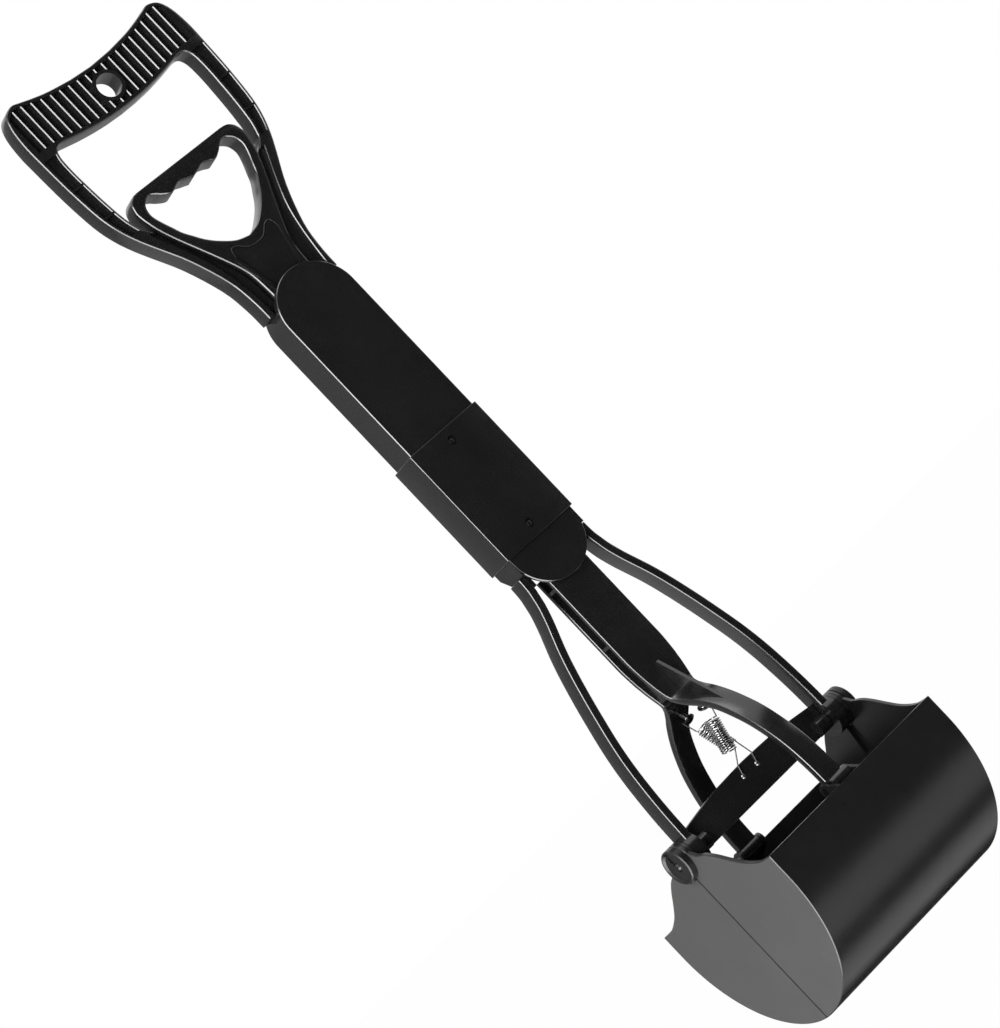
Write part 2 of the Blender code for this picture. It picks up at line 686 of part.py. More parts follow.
def make_lower_housing():
    radius = HOUSING_HALF_WIDTH
    plate_top = lower_fold_height - LOWER_PLATE_DROP
    outline = [(radius, plate_top), (-radius, plate_top)] + arc(
        (0, sleeve_bottom - LOWER_DISC_DROP), radius, 180, 360)
    middle = HOUSING_HALF_DEPTH - LOWER_PLATE_THICKNESS / 2
    housing = plate("lower_housing", [outline], LOWER_PLATE_THICKNESS, "XZ", finish=black_plastic,
                    middle=middle)
    depth = HOUSING_HALF_DEPTH
    wall = [(-depth, lower_wall_floor), (depth / 2, lower_wall_floor),
            (depth, lower_wall_floor + LOWER_WALL_SLOPE)] + arc(
                (0, lower_fold_height), depth, 0, 180)
    for side in (-1, 1):
        centre = side * (HOUSING_HALF_WIDTH - HOUSING_WALL / 2)
        join(housing, plate("lower_wall", [wall], HOUSING_WALL, "YZ", tool=True, middle=centre))
    for side in (-1, 1):
        cut(housing, rivet_hole(side, lower_fold_height))
    cut(housing, detent_hole(sleeve_hole_heights[0], LOWER_PLATE_THICKNESS))
    return housing


def make_side_links():
    outer = housing_inner_x - SEAT_GAP
    middle = outer - SIDE_LINK_THICKNESS / 2
    for side, word in ((-1, "left"), (1, "right")):
        outline = stadium((0, lower_fold_height), (0, upper_fold_height),
                          HOUSING_HALF_DEPTH - SEAT_GAP)
        holes = [list(reversed(arc((0, height), RIVET_RADIUS + SEAT_GAP, 0, 345, 22.5)))
                 for height in (lower_fold_height, upper_fold_height)]
        plate("side_link_" + word, [outline] + holes, SIDE_LINK_THICKNESS, "YZ",
              finish=black_plastic, middle=side * middle)
        for height, level in ((lower_fold_height, "lower"), (upper_fold_height, "upper")):
            head = outer - SIDE_LINK_THICKNESS - SEAT_GAP
            shank = HOUSING_HALF_WIDTH - head
            profile = [(0, shank), (RIVET_RADIUS, shank), (RIVET_RADIUS, 0),
                       (RIVET_HEAD_RADIUS, 0), (RIVET_HEAD_RADIUS, -RIVET_HEAD_THICKNESS),
                       (0, -RIVET_HEAD_THICKNESS)]
            turned("fold_rivet_%s_%s" % (level, word), profile, (side * head, 0, height),
                   (side, 0, 0), finish=bright_steel)


def make_centre_link():
    outline = stadium((0, lower_fold_height), (0, upper_fold_height), CENTRE_LINK_RADIUS)
    link = plate("center_link", [outline], 2 * CENTRE_LINK_HALF_WIDTH, "YZ", trigger_axis,
                 black_plastic)
    slot = TONGUE_HALF_WIDTH + SEAT_GAP
    depth = TONGUE_RADIUS + SEAT_GAP
    reach = CENTRE_LINK_RADIUS + OVERRUN
    cut(link, block("link_slot", (-slot, -reach, upper_fold_height - depth),
                    (slot, reach, upper_fold_height + reach), trigger_axis, tool=True))
    cut(link, block("link_slot", (-slot, -reach, lower_fold_height - reach),
                    (slot, reach, lower_fold_height + depth), trigger_axis, tool=True))
    for height, level in ((upper_fold_height, "upper"), (lower_fold_height, "lower")):
        cut(link, pin_hole("link_hole", height))
        cylinder("center_pin_" + level, CENTRE_PIN_RADIUS, (-CENTRE_LINK_HALF_WIDTH, 0, height),
                 (CENTRE_LINK_HALF_WIDTH, 0, height), trigger_axis, bright_steel)
    return link


def rounded_rectangle(half_x, half_y, corner):
    outline = []
    for sx, sy, start in ((1, 1, 0), (-1, 1, 90), (-1, -1, 180), (1, -1, 270)):
        centre = (sx * (half_x - corner), sy * (half_y - corner))
        outline += arc(centre, corner, start, start + 90, 30)
    return outline


def make_lock_sleeve():
    inner_x = HOUSING_HALF_WIDTH + SEAT_GAP
    inner_y = HOUSING_HALF_DEPTH + SEAT_GAP
    outer = rounded_rectangle(inner_x + SLEEVE_WALL, inner_y + SLEEVE_WALL, SLEEVE_CORNER)
    bore = [(inner_x, -inner_y), (-inner_x, -inner_y), (-inner_x, inner_y), (inner_x, inner_y)]
    sleeve = plate("lock_sleeve", [outer, bore], SLEEVE_LENGTH, "XY", sleeve_axis,
                   black_plastic, middle=FOLD_MIDDLE_HEIGHT)
    reach = inner_y + SLEEVE_WALL + OVERRUN
    for height in sleeve_hole_heights:
        cut(sleeve, cylinder("sleeve_hole", SLEEVE_HOLE_RADIUS, (0, -reach, height),
                             (0, 0, height), sleeve_axis, tool=True))
    smooth(sleeve)
    return sleeve


def make_detent_buttons():
    face = HOUSING_HALF_DEPTH
    for height, level in zip(sleeve_hole_heights, ("lower", "upper")):
        shank = face - DETENT_SHANK
        dome = [(DETENT_RADIUS * math.sin(a), face - DETENT_DOME * (1 - math.cos(a)))
                for a in (math.radians(90 * i / 4) for i in range(5))]
        profile = [(radius, top - shank) for radius, top in dome]
        profile += [(DETENT_RADIUS, 0), (0, 0)]
        turned("detent_button_" + level, profile, (0, -shank, height), (0, -1, 0),
               finish=black_plastic)


def make_arms():
    """Curved arms. The tab at each top lies against the inside of the lower housing's wall."""
    top = lower_wall_floor - SEAT_GAP
    line = smooth_run([
        (ARM_TOP_SPREAD + x * (arm_spread - ARM_TOP_SPREAD), y * top) for x, y in ARM_SHARES])
    line[0] = (ARM_TOP_SPREAD, top)
    outline = (offset_run(line, -ARM_THICKNESS / 2)
               + list(reversed(offset_run(line, ARM_THICKNESS / 2))))
    outer = housing_inner_x - SEAT_GAP
    inner = outer - ARM_TAB_THICKNESS
    tab = [(inner, top - ARM_TAB_DROP), (ARM_TOP_SPREAD, top - ARM_TAB_DROP),
           (ARM_TOP_SPREAD, top - EAR_INSET), (outer, top - EAR_INSET),
           (outer, sleeve_bottom - SEAT_GAP), (inner, sleeve_bottom - SEAT_GAP)]
    tab_depth = ARM_DEPTH - 4 * ARM_EDGE_ROUND
    for side, word in ((-1, "left"), (1, "right")):
        arm = plate(word + "_arm", [[(side * x, z) for x, z in outline]], ARM_DEPTH, "XZ",
                    finish=black_plastic, middle=ARM_FORWARD, edge_round=ARM_EDGE_ROUND)
        join(arm, plate("arm_tab", [[(side * x, z) for x, z in tab]], tab_depth, "XZ", tool=True,
                        middle=ARM_FORWARD))
        join(arm, cylinder("arm_eye", EYE_RADIUS, (side * arm_inner_x, 0, 0),
                           (side * eye_outer_x, 0, 0), tool=True, segments=ROUND_SEGMENTS))
        cut(arm, hinge_hole(side))


def hinge_hole(side, parent=hinge_line):
    return cylinder("hinge_hole", HINGE_PIN_RADIUS + SEAT_GAP,
                    (side * (pin_inner_x - SEAT_GAP), 0, 0),
                    (side * (JAW_HALF_LENGTH + OVERRUN), 0, 0), parent, tool=True)


def make_hinge_hardware():
    cap_x = JAW_HALF_LENGTH + SEAT_GAP
    for side, word in ((-1, "left"), (1, "right")):
        tip = cap_x + CAP_THICKNESS - pin_inner_x
        profile = [(0, tip), (HINGE_TIP_RADIUS, tip), (HINGE_PIN_RADIUS, tip - CAP_STEP),
                   (HINGE_PIN_RADIUS, 0), (0, 0)]
        turned("hinge_pin_" + word, profile, (side * pin_inner_x, 0, 0), (side, 0, 0),
               finish=dark_steel)
        bore = HINGE_PIN_RADIUS + SEAT_GAP
        rim = CAP_RADIUS - CAP_STEP
        dish = CAP_THICKNESS - CAP_STEP_DEPTH
        profile = [(bore, dish), (rim - CAP_STEP, dish), (rim, CAP_THICKNESS),
                   (CAP_RADIUS - CAP_STEP / 2, CAP_THICKNESS),
                   (CAP_RADIUS, CAP_THICKNESS - CAP_STEP / 2), (CAP_RADIUS, 0), (bore, 0),
                   (bore, dish)]
        cap = turned("hinge_cap_" + word, profile, (side * cap_x, 0, 0), (side, 0, 0),
                     finish=black_plastic, segments=ROUND_SEGMENTS)
        slot = [(x * CAP_RADIUS * -side, y * CAP_RADIUS) for x, y in CAP_SLOT_SHARES]
        slot_middle = cap_x + CAP_THICKNESS - CAP_SLOT_DEPTH / 2 + OVERRUN / 2
        cut(cap, plate("cap_slot", [slot], CAP_SLOT_DEPTH + OVERRUN, "YZ", tool=True,
                       middle=side * slot_middle))


def make_cross_bar():
    """A flat bar with a bowed top edge and a bored boss at each end for the hinge pins."""
    shoulder = (bar_end_x / 2, BAR_TOP + BAR_BOW * BAR_SHOULDER_SHARE)
    top = smooth_run([(bar_end_x, BAR_TOP), shoulder, (0, BAR_TOP + BAR_BOW)], 4)
    outline = mirrored([(bar_end_x, BAR_BOTTOM)] + top)
    bar = plate("cross_bar", [outline], BAR_THICKNESS, "XZ", finish=black_plastic,
                middle=-BAR_FRONT_Y - BAR_THICKNESS / 2)
    boss_x = bar_end_x - BAR_BOSS_LENGTH
    for side in (-1, 1):
        join(bar, cylinder("bar_boss", BAR_BOSS_RADIUS, (side * boss_x, 0, 0),
                           (side * (bar_end_x - EAR_INSET), 0, 0), tool=True))
        cut(bar, hinge_hole(side))
        hole = (side * BAR_HOLE_X, BAR_FRONT_Y - OVERRUN, BAR_HOLE_HEIGHT)
        cut(bar, cylinder("bar_hole", BAR_HOLE_RADIUS, hole, (hole[0], OVERRUN, hole[2]),
                          tool=True))
    return bar


def jaw_side_outline(sign, outer_ear):
    """One jaw seen along X. The jaw with the outer ear keeps it whole, the other clears it."""
    rim = JAW_RADIUS
    top_edge = smooth_run(
        [(rim, JAW_RIM_HEIGHT)]
        + [(y * JAW_RADIUS, z * JAW_RIM_HEIGHT) for y, z in JAW_TOP_SHARES])
    belly = arc((0, JAW_CENTRE_HEIGHT), JAW_RADIUS, -90, 0, 6)
    belly[0] = (SEAT_GAP / 2, belly[0][1])
    if outer_ear:
        ear = arc((0, 0), EYE_RADIUS, 14, 180 + 88)
    else:
        ear = arc((0, 0), EYE_RADIUS + SEAT_GAP, -4, -88)
    points = belly + top_edge + ear
    points.append((SEAT_GAP / 2, ear[-1][1]))
    return [(sign * y, z) for y, z in points]


def jaw_cavity(parent):
    radius = JAW_RADIUS - JAW_WALL
    outline = arc((0, JAW_CENTRE_HEIGHT), radius, 180, 360, 6)
    outline += [(radius, EYE_RADIUS + OVERRUN), (-radius, EYE_RADIUS + OVERRUN)]
    return plate("jaw_cavity", [outline], 2 * (JAW_HALF_LENGTH - JAW_WALL), "YZ", parent,
                 tool=True)


def jaw_notches():
    """Rounded teeth gaps along the closing edge."""
    half = smooth_run([(x * NOTCH_HALF_WIDTH, y * NOTCH_DEPTH) for x, y in NOTCH_SHARES])
    tooth = [(NOTCH_HALF_WIDTH, -OVERRUN)] + half
    tooth += [(-x, y) for x, y in reversed(tooth) if x != 0]
    last = JAW_HALF_LENGTH - JAW_WALL - NOTCH_END_INSET
    pitch = 2 * last / (NOTCH_COUNT - 1)
    outlines = []
    for index in range(NOTCH_COUNT):
        middle = index * pitch - last
        outlines.append([(middle + x, y) for x, y in tooth])
    return outlines


def make_jaw(name, sign, axis):
    outer_ear = sign < 0
    outline = jaw_side_outline(sign, outer_ear)
    jaw = plate(name, [outline], 2 * JAW_HALF_LENGTH, "YZ", axis, grey_plastic)
    cut(jaw, jaw_cavity(axis))
    notches = [[(x, sign * y) for x, y in tooth] for tooth in jaw_notches()]
    bottom = JAW_CENTRE_HEIGHT - JAW_RADIUS
    cut(jaw, plate("jaw_notches", notches, 4 * OVERRUN, "XY", axis, tool=True, middle=bottom))
    for side in (-1, 1):
        if not outer_ear:
            join(jaw, *inner_ear(side, sign, axis))
        bracket_x = ARM_STRAP_HALF_WIDTH + RUNNING_GAP / 2 + BRACKET_THICKNESS / 2
        join(jaw, foot_bracket(sign, axis, side * bracket_x))
    for side in (-1, 1):
        cut(jaw, hinge_hole(side, axis))
    reach = ARM_STRAP_HALF_WIDTH + BRACKET_THICKNESS + OVERRUN
    cut(jaw, cylinder("jaw_pin_hole", FOOT_PIN_RADIUS + SEAT_GAP,
                      (-reach, sign * foot_pin_y, FOOT_PIN_HEIGHT),
                      (reach, sign * foot_pin_y, FOOT_PIN_HEIGHT), axis, tool=True))
    smooth(jaw)
    pin = ARM_STRAP_HALF_WIDTH + RUNNING_GAP / 2 + BRACKET_THICKNESS
    cylinder(name + "_pin", FOOT_PIN_RADIUS, (-pin, sign * foot_pin_y, FOOT_PIN_HEIGHT),
             (pin, sign * foot_pin_y, FOOT_PIN_HEIGHT), axis, bright_steel)
    return jaw


def inner_ear(side, sign, axis):
    """The back jaw's ear runs inside the front jaw's: a disc and the doubler that carries it."""
    plate_inner = JAW_HALF_LENGTH - JAW_WALL
    disc_out = plate_inner - SEAT_GAP
    disc_in = eye_outer_x + SEAT_GAP
    low, high = DOUBLER_SPREAD_DEGREES
    leaf = arc((0, 0), DOUBLER_REACH, low, high) + arc((0, 0), EYE_RADIUS, high, low + 360)
    disc = plate("ear_disc", [[(sign * y, z) for y, z in leaf]], disc_out - disc_in, "YZ", axis,
                 tool=True, middle=side * (disc_in + disc_out) / 2)
    near = EYE_RADIUS + 2 * SEAT_GAP
    far = DOUBLER_REACH - SEAT_GAP
    low, high = low + DOUBLER_EASE_DEGREES, high - DOUBLER_EASE_DEGREES
    web = arc((0, 0), far, low, high) + arc((0, 0), near, high, low)
    joggle_in = disc_out - SMALL_OVERLAP
    joggle_out = plate_inner + SMALL_OVERLAP
    joggle = plate("ear_joggle", [[(sign * y, z) for y, z in web]], joggle_out - joggle_in, "YZ",
                   axis, tool=True, middle=side * (joggle_in + joggle_out) / 2)
    return disc, joggle


def foot_bracket(sign, axis, x):
    """A cheek from the jaw's wall to the pin of the wishbone foot."""
    wall = JAW_RADIUS - JAW_WALL / 2
    fall = BRACKET_FALL_SHARE * BRACKET_RADIUS
    outline = [(wall, FOOT_PIN_HEIGHT - fall), (wall, JAW_RIM_HEIGHT)]
    outline += arc((foot_pin_y, FOOT_PIN_HEIGHT), BRACKET_RADIUS, 70, 250, 20)
    return plate("foot_bracket", [[(sign * y, z) for y, z in outline]], BRACKET_THICKNESS, "YZ",
                 axis, tool=True, middle=x)


def lofted(name, sections, parent, finish=None, tool=False):
    """A bar through rings of points that all have the same count."""
    shape = bmesh.new()
    rings = [[shape.verts.new(point) for point in ring] for ring in sections]
    count = len(rings[0])
    for first, second in zip(rings, rings[1:]):
        for i in range(count):
            j = (i + 1) % count
            shape.faces.new((first[i], first[j], second[j], second[i]))
    shape.faces.new(list(reversed(rings[0])))
    shape.faces.new(rings[-1])
    bmesh.ops.recalc_face_normals(shape, faces=shape.faces)
    mesh = bpy.data.meshes.new(name)
    shape.to_mesh(mesh)
    shape.free()
    made = add(mesh, name, parent, finish, tool)
    smooth(made)
    return made


def strap_reach(sign):
    """How far the straight strap's middle is from the axis. The rod sits a little forward."""
    return ROD_HALF_DEPTH - ROD_FLANGE / 2 - sign * ROD_FORWARD


def wishbone_line(sign):
    """The strap's middle line, as (reach from the axis, height), from the rod to the foot."""
    inner = strap_reach(sign)
    foot = foot_pin_y
    return smooth_run([
        (inner + x * (foot - inner), FOOT_PIN_HEIGHT + y * (TAPER_TOP - FOOT_PIN_HEIGHT))
        for x, y in WISHBONE_SHARES])


def along(line):
    """Share of the line's length at each of its points."""
    lengths = [0.0]
    for (x0, y0), (x1, y1) in zip(line, line[1:]):
        lengths.append(lengths[-1] + math.hypot(x1 - x0, y1 - y0))
    return [length / lengths[-1] for length in lengths]


def eased(shares, share):
    for (s0, v0), (s1, v1) in zip(shares, shares[1:]):
        if s0 <= share <= s1:
            return v0 + (v1 - v0) * (share - s0) / (s1 - s0)
    return shares[-1][1]


def strap_section(sign, centre, normal, half_width, thickness):
    """A rectangle across the strap: x across, the normal through its thickness."""
    half = thickness / 2
    corners = ((-1, -1), (1, -1), (1, 1), (-1, 1))
    return [(cx * half_width, sign * (centre[0] + cn * half * normal[0]),
             centre[1] + cn * half * normal[1]) for cx, cn in corners]


def line_normals(line):
    """Unit normals that point away from the tool's axis."""
    normals = []
    for index in range(len(line)):
        x0, y0 = line[max(index - 1, 0)]
        x1, y1 = line[min(index + 1, len(line) - 1)]
        length = math.hypot(x1 - x0, y1 - y0)
        normals.append((-(y1 - y0) / length, (x1 - x0) / length))
    return normals


def make_wishbone(name, sign, notched):
    line = wishbone_line(sign)
    shares = along(line)
    normals = line_normals(line)
    inner = strap_reach(sign)
    sections = [strap_section(sign, (inner, rod_strap_top), (1, 0), ROD_HALF_WIDTH, ROD_FLANGE)]
    for point, normal, share in zip(line, normals, shares):
        sections.append(strap_section(sign, point, normal, strap_half_width(share),
                                      strap_thickness(share)))
    strap = lofted(name, sections, trigger_axis, black_plastic)
    if notched:
        notch = [(-ROD_HALF_WIDTH, rod_strap_top + OVERRUN), (0, rod_strap_top - ROD_NOTCH_DEPTH),
                 (ROD_HALF_WIDTH, rod_strap_top + OVERRUN)]
        cut(strap, prisms("strap_notch", [notch], sign * inner - OVERRUN,
                          sign * inner + OVERRUN, trigger_axis))
    join(strap, bend_web(sign, line), strap_foot(sign))
    cut(strap, foot_slot(sign), anchor_hole(sign, line, normals, shares))
    return strap


def strap_half_width(share):
    return ROD_HALF_WIDTH + (ARM_STRAP_HALF_WIDTH - ROD_HALF_WIDTH) * eased(STRAP_TAPER_SHARES, share)


def strap_thickness(share):
    return ROD_FLANGE + (ARM_STRAP_THICKNESS - ROD_FLANGE) * eased(STRAP_THICKEN_SHARES, share)


def bend_web(sign, line):
    """The thin straight-edged web that stiffens the bend on the strap's outer face."""
    inner = strap_reach(sign)
    inside = [point for point in line if WEB_FOOT < point[1] < WEB_TOP]
    outline = [(inner, WEB_TOP)] + inside
    outline.append((at_height(line, WEB_FOOT) + WEB_FOOT_REACH, WEB_FOOT))
    outline.append((inner + ROD_FLANGE / 2 + WEB_PROUD, WEB_TOP))
    return plate("bend_web", [[(sign * y, z) for y, z in outline]], 2 * WEB_HALF_WIDTH, "YZ",
                 trigger_axis, tool=True)


def foot_slot_ends():
    reach = math.hypot(foot_pin_y, FOOT_PIN_HEIGHT)
    return (foot_pin_y, FOOT_PIN_HEIGHT), (reach, FOOT_PIN_HEIGHT)


def strap_foot(sign):
    near, far = foot_slot_ends()
    radius = foot_slot_radius + FOOT_WALL
    outline = [(sign * y, z) for y, z in stadium(near, far, radius)]
    width = 2 * (ARM_STRAP_HALF_WIDTH + FOOT_PROUD)
    return plate("strap_foot", [outline], width, "YZ", trigger_axis, tool=True)


def foot_slot(sign):
    near, far = foot_slot_ends()
    outline = [(sign * y, z) for y, z in stadium(near, far, foot_slot_radius)]
    return plate("foot_slot", [outline], 2 * (ARM_STRAP_HALF_WIDTH + OVERRUN), "YZ", trigger_axis,
                 tool=True)


def anchor_place(sign, line, normals, shares):
    """Point on the strap's inner face and the direction that leaves it."""
    index = min(range(len(line)), key=lambda i: abs(shares[i] - ANCHOR_SHARE))
    half = strap_thickness(shares[index]) / 2
    point, normal = line[index], normals[index]
    face = Vector((0, sign * (point[0] - normal[0] * half), point[1] - normal[1] * half))
    return face, Vector((0, -sign * normal[0], -normal[1]))


def anchor_hole(sign, line, normals, shares):
    face, way = anchor_place(sign, line, normals, shares)
    depth = ANCHOR_DEPTH + SEAT_GAP
    return cylinder("anchor_hole", ANCHOR_RADIUS + SEAT_GAP, face + way * OVERRUN,
                    face - way * depth, trigger_axis, tool=True)


def make_anchor(name, sign):
    line = wishbone_line(sign)
    face, way = anchor_place(sign, line, line_normals(line), along(line))
    neck = ANCHOR_DEPTH + ANCHOR_REACH
    profile = [(0, neck + ANCHOR_HEAD_THICKNESS),
               (ANCHOR_HEAD_RADIUS / 2, neck + ANCHOR_HEAD_THICKNESS),
               (ANCHOR_HEAD_RADIUS, neck + ANCHOR_HEAD_THICKNESS / 2), (ANCHOR_HEAD_RADIUS, neck),
               (ANCHOR_RADIUS, neck), (ANCHOR_RADIUS, 0), (0, 0)]
    turned(name, profile, face - way * ANCHOR_DEPTH, way, trigger_axis, dark_steel)
    return face + way * (ANCHOR_REACH - SPRING_WIRE_RADIUS - SEAT_GAP), way


def make_rod_core():
    half_depth = ROD_HALF_DEPTH - ROD_FLANGE - SEAT_GAP
    front = -half_depth - ROD_FORWARD
    back = half_depth - ROD_FORWARD
    foot = lower_fold_height - TONGUE_REACH
    core = block("rod_core", (-ROD_CORE_HALF_WIDTH, front, ROD_CORE_BOTTOM),
                 (ROD_CORE_HALF_WIDTH, back, foot), trigger_axis, black_plastic)
    line = wishbone_line(1)
    heights = [(share, point[1]) for share, point in zip(along(line), line)]
    for height in ROD_RIB_HEIGHTS:
        reach = strap_half_width(at_height(heights, height)) - ROD_RIB_INSET
        join(core, block("rod_rib", (-reach, front, height - ROD_RIB_THICKNESS / 2),
                         (reach, back, height + ROD_RIB_THICKNESS / 2), trigger_axis, tool=True))
    join(core, tongue("rod_tongue", lower_fold_height, foot - SMALL_OVERLAP))
    cut(core, pin_hole("rod_eye", lower_fold_height))
    return core


def spring_points(hook, way, hole, across, curls):
    """A loop round the anchor's neck, the coil and a tail through the bar: one open path."""
    front_y = BAR_FRONT_Y - SEAT_GAP - SPRING_WIRE_RADIUS
    down = (Vector((hole.x, front_y, hole.z)) - hook).normalized()
    back_up = (across.cross(way)).normalized()
    if back_up.dot(down) > 0:
        back_up = -back_up
    loop_radius = ANCHOR_RADIUS + SEAT_GAP + SPRING_WIRE_RADIUS
    pass_x = ANCHOR_HEAD_RADIUS + 2 * SEAT_GAP + SPRING_WIRE_RADIUS
    points = []
    for step in range(SPRING_HOOK_POINTS):
        angle = math.radians(SPRING_HOOK_DEGREES * (1 - step / (SPRING_HOOK_POINTS - 1)))
        points.append(hook + across * loop_radius * math.cos(angle)
                      + back_up * loop_radius * math.sin(angle))
    points[-1] = hook + across * pass_x
    side = (across - down * across.dot(down)).normalized()
    out = side.cross(down)
    start = hook + down * (SPRING_COIL_TOP - hook.z) / down.z
    points.append(start + side * SPRING_COIL_RADIUS - down * SPRING_PITCH)
    for step in range(round(curls * SPRING_POINTS_PER_CURL) + 1):
        turn = step / SPRING_POINTS_PER_CURL
        angle = 2 * math.pi * turn
        points.append(start + down * turn * SPRING_PITCH
                      + (side * math.cos(angle) + out * math.sin(angle)) * SPRING_COIL_RADIUS)
    points.append(Vector((hole.x + SPRING_TAIL_LEAN, front_y, BAR_TOP + BAR_BOW)))
    points.append(Vector((hole.x, front_y, hole.z + BAR_HOLE_RADIUS / 2)))
    points.append(Vector((hole.x, front_y + SPRING_WIRE_RADIUS, hole.z)))
    points.append(Vector((hole.x, BAR_FRONT_Y + BAR_THICKNESS + SPRING_WIRE_RADIUS, hole.z)))
    return points


def least_gap(points, radius):
    """Least free space between stretches of the tube that aren't neighbours along it."""
    apart = SPRING_POINTS_PER_CURL // 2 + 1
    best = math.inf
    for i, first in enumerate(points):
        for second in points[i + apart:]:
            best = min(best, (first - second).length)
    return best - 2 * radius


def make_spring(name, hook, way, hole_x, curls):
    """A spring that leaves the anchor on the side away from its hole."""
    hole = Vector((hole_x, BAR_FRONT_Y + BAR_THICKNESS / 2, BAR_HOLE_HEIGHT))
    across = Vector((-math.copysign(1, hole_x), 0, 0))
    points = spring_points(hook, way, hole, across, curls)
    print(name, "least gap to itself: %.5f m" % least_gap(points, SPRING_WIRE_RADIUS))
    curve = bpy.data.curves.new(name, "CURVE")
    curve.dimensions = "3D"
    curve.bevel_depth = SPRING_WIRE_RADIUS
    curve.bevel_resolution = 1
    curve.use_fill_caps = True
    spline = curve.splines.new("POLY")
    spline.points.add(len(points) - 1)
    for slot, point in zip(spline.points, points):
        slot.co = (*point, 1)
    made = bpy.data.objects.new(name, curve)
    curve.materials.append(bright_steel)
    parts.objects.link(made)
    made.parent = hinge_line
    return made


# Places that several pieces share
fold_half_gap = HOUSING_HALF_DEPTH + SEAT_GAP / 2
upper_fold_height = FOLD_MIDDLE_HEIGHT + fold_half_gap
lower_fold_height = FOLD_MIDDLE_HEIGHT - fold_half_gap
upper_floor = upper_fold_height + UPPER_FLOOR_RISE
sleeve_bottom = FOLD_MIDDLE_HEIGHT - SLEEVE_LENGTH / 2
sleeve_top = FOLD_MIDDLE_HEIGHT + SLEEVE_LENGTH / 2
sleeve_hole_heights = (sleeve_bottom + DETENT_INSET, sleeve_top - DETENT_INSET)
lower_wall_floor = sleeve_bottom - LOWER_WALL_DROP
rod_strap_top = lower_fold_height - ROD_STRAP_DROP
eye_outer_x = JAW_HALF_LENGTH - JAW_WALL - EAR_THICKNESS - 2 * SEAT_GAP
arm_spread = eye_outer_x - EYE_BOSS_REACH
arm_inner_x = arm_spread - ARM_THICKNESS / 2
bar_end_x = arm_inner_x - SEAT_GAP
pin_inner_x = bar_end_x - BAR_BORE_DEPTH
foot_pin_y = JAW_RADIUS - FOOT_PIN_INSET
foot_slot_radius = FOOT_PIN_RADIUS + FOOT_SLOT_PLAY

make_handle_frame()
make_trigger()
make_upper_housing()
make_lower_housing()
make_side_links()
make_centre_link()
make_lock_sleeve()
make_detent_buttons()
make_arms()
make_hinge_hardware()
make_cross_bar()
make_jaw("front_jaw", -1, front_jaw_axis)
make_jaw("back_jaw", 1, back_jaw_axis)
make_wishbone("front_wishbone", -1, False)
make_wishbone("back_wishbone", 1, True)
make_rod_core()
front_hook, front_way = make_anchor("spring_anchor_front", -1)
back_hook, back_way = make_anchor("spring_anchor_back", 1)
make_spring("spring_front", front_hook, front_way, -BAR_HOLE_X, SPRING_CURLS)
make_spring("spring_back", back_hook, back_way, BAR_HOLE_X, SPRING_CURLS - SPRING_HALF_TURN)
bpy.context.view_layer.update()
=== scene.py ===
"""Looks of the folding pooper scooper: finer pieces of the same forms, materials, light, camera.

Heights in the makers are measured up from the jaw hinge, in the frame of "look_jaw_hinge_line".
"""

import json
import math

import bmesh
import bpy
from mathutils import Matrix, Vector

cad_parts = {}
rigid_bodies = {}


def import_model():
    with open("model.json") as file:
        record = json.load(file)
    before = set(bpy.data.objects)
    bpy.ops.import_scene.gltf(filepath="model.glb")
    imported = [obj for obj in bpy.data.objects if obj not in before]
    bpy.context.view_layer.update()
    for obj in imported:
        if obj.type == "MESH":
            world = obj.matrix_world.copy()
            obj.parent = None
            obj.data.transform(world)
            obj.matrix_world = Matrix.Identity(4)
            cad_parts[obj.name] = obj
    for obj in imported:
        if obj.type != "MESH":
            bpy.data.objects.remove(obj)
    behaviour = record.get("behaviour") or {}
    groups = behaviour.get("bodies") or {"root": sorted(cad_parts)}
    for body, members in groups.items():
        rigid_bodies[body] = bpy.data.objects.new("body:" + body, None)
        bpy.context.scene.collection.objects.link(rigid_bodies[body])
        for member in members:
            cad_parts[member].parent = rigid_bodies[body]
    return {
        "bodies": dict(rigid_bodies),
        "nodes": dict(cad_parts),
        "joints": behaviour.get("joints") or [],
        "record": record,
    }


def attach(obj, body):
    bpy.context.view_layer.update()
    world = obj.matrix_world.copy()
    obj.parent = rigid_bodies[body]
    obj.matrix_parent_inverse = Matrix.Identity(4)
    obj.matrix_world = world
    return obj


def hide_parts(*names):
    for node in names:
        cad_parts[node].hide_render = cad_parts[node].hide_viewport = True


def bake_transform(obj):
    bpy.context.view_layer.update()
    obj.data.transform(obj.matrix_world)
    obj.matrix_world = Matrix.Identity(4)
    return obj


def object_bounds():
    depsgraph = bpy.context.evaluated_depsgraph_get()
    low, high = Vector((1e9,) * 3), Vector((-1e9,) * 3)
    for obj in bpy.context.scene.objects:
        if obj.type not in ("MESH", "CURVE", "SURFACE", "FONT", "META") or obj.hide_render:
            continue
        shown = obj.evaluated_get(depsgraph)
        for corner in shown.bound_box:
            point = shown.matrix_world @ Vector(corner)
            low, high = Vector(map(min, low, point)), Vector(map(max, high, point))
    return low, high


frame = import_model()
cad_low, cad_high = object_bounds()
nodes = frame["nodes"]
record = frame["record"]

# Camera, from the photograph's own right angles
CAMERA_PLACE = (-1.07606, -1.81268, -0.39343)
CAMERA_HEADING_DEGREES = -30.6286
CAMERA_PITCH_DEGREES = 2.7194
CAMERA_ROLL_DEGREES = -43.4219
CAMERA_LENS = 150.98
CAMERA_SENSOR = 36.0

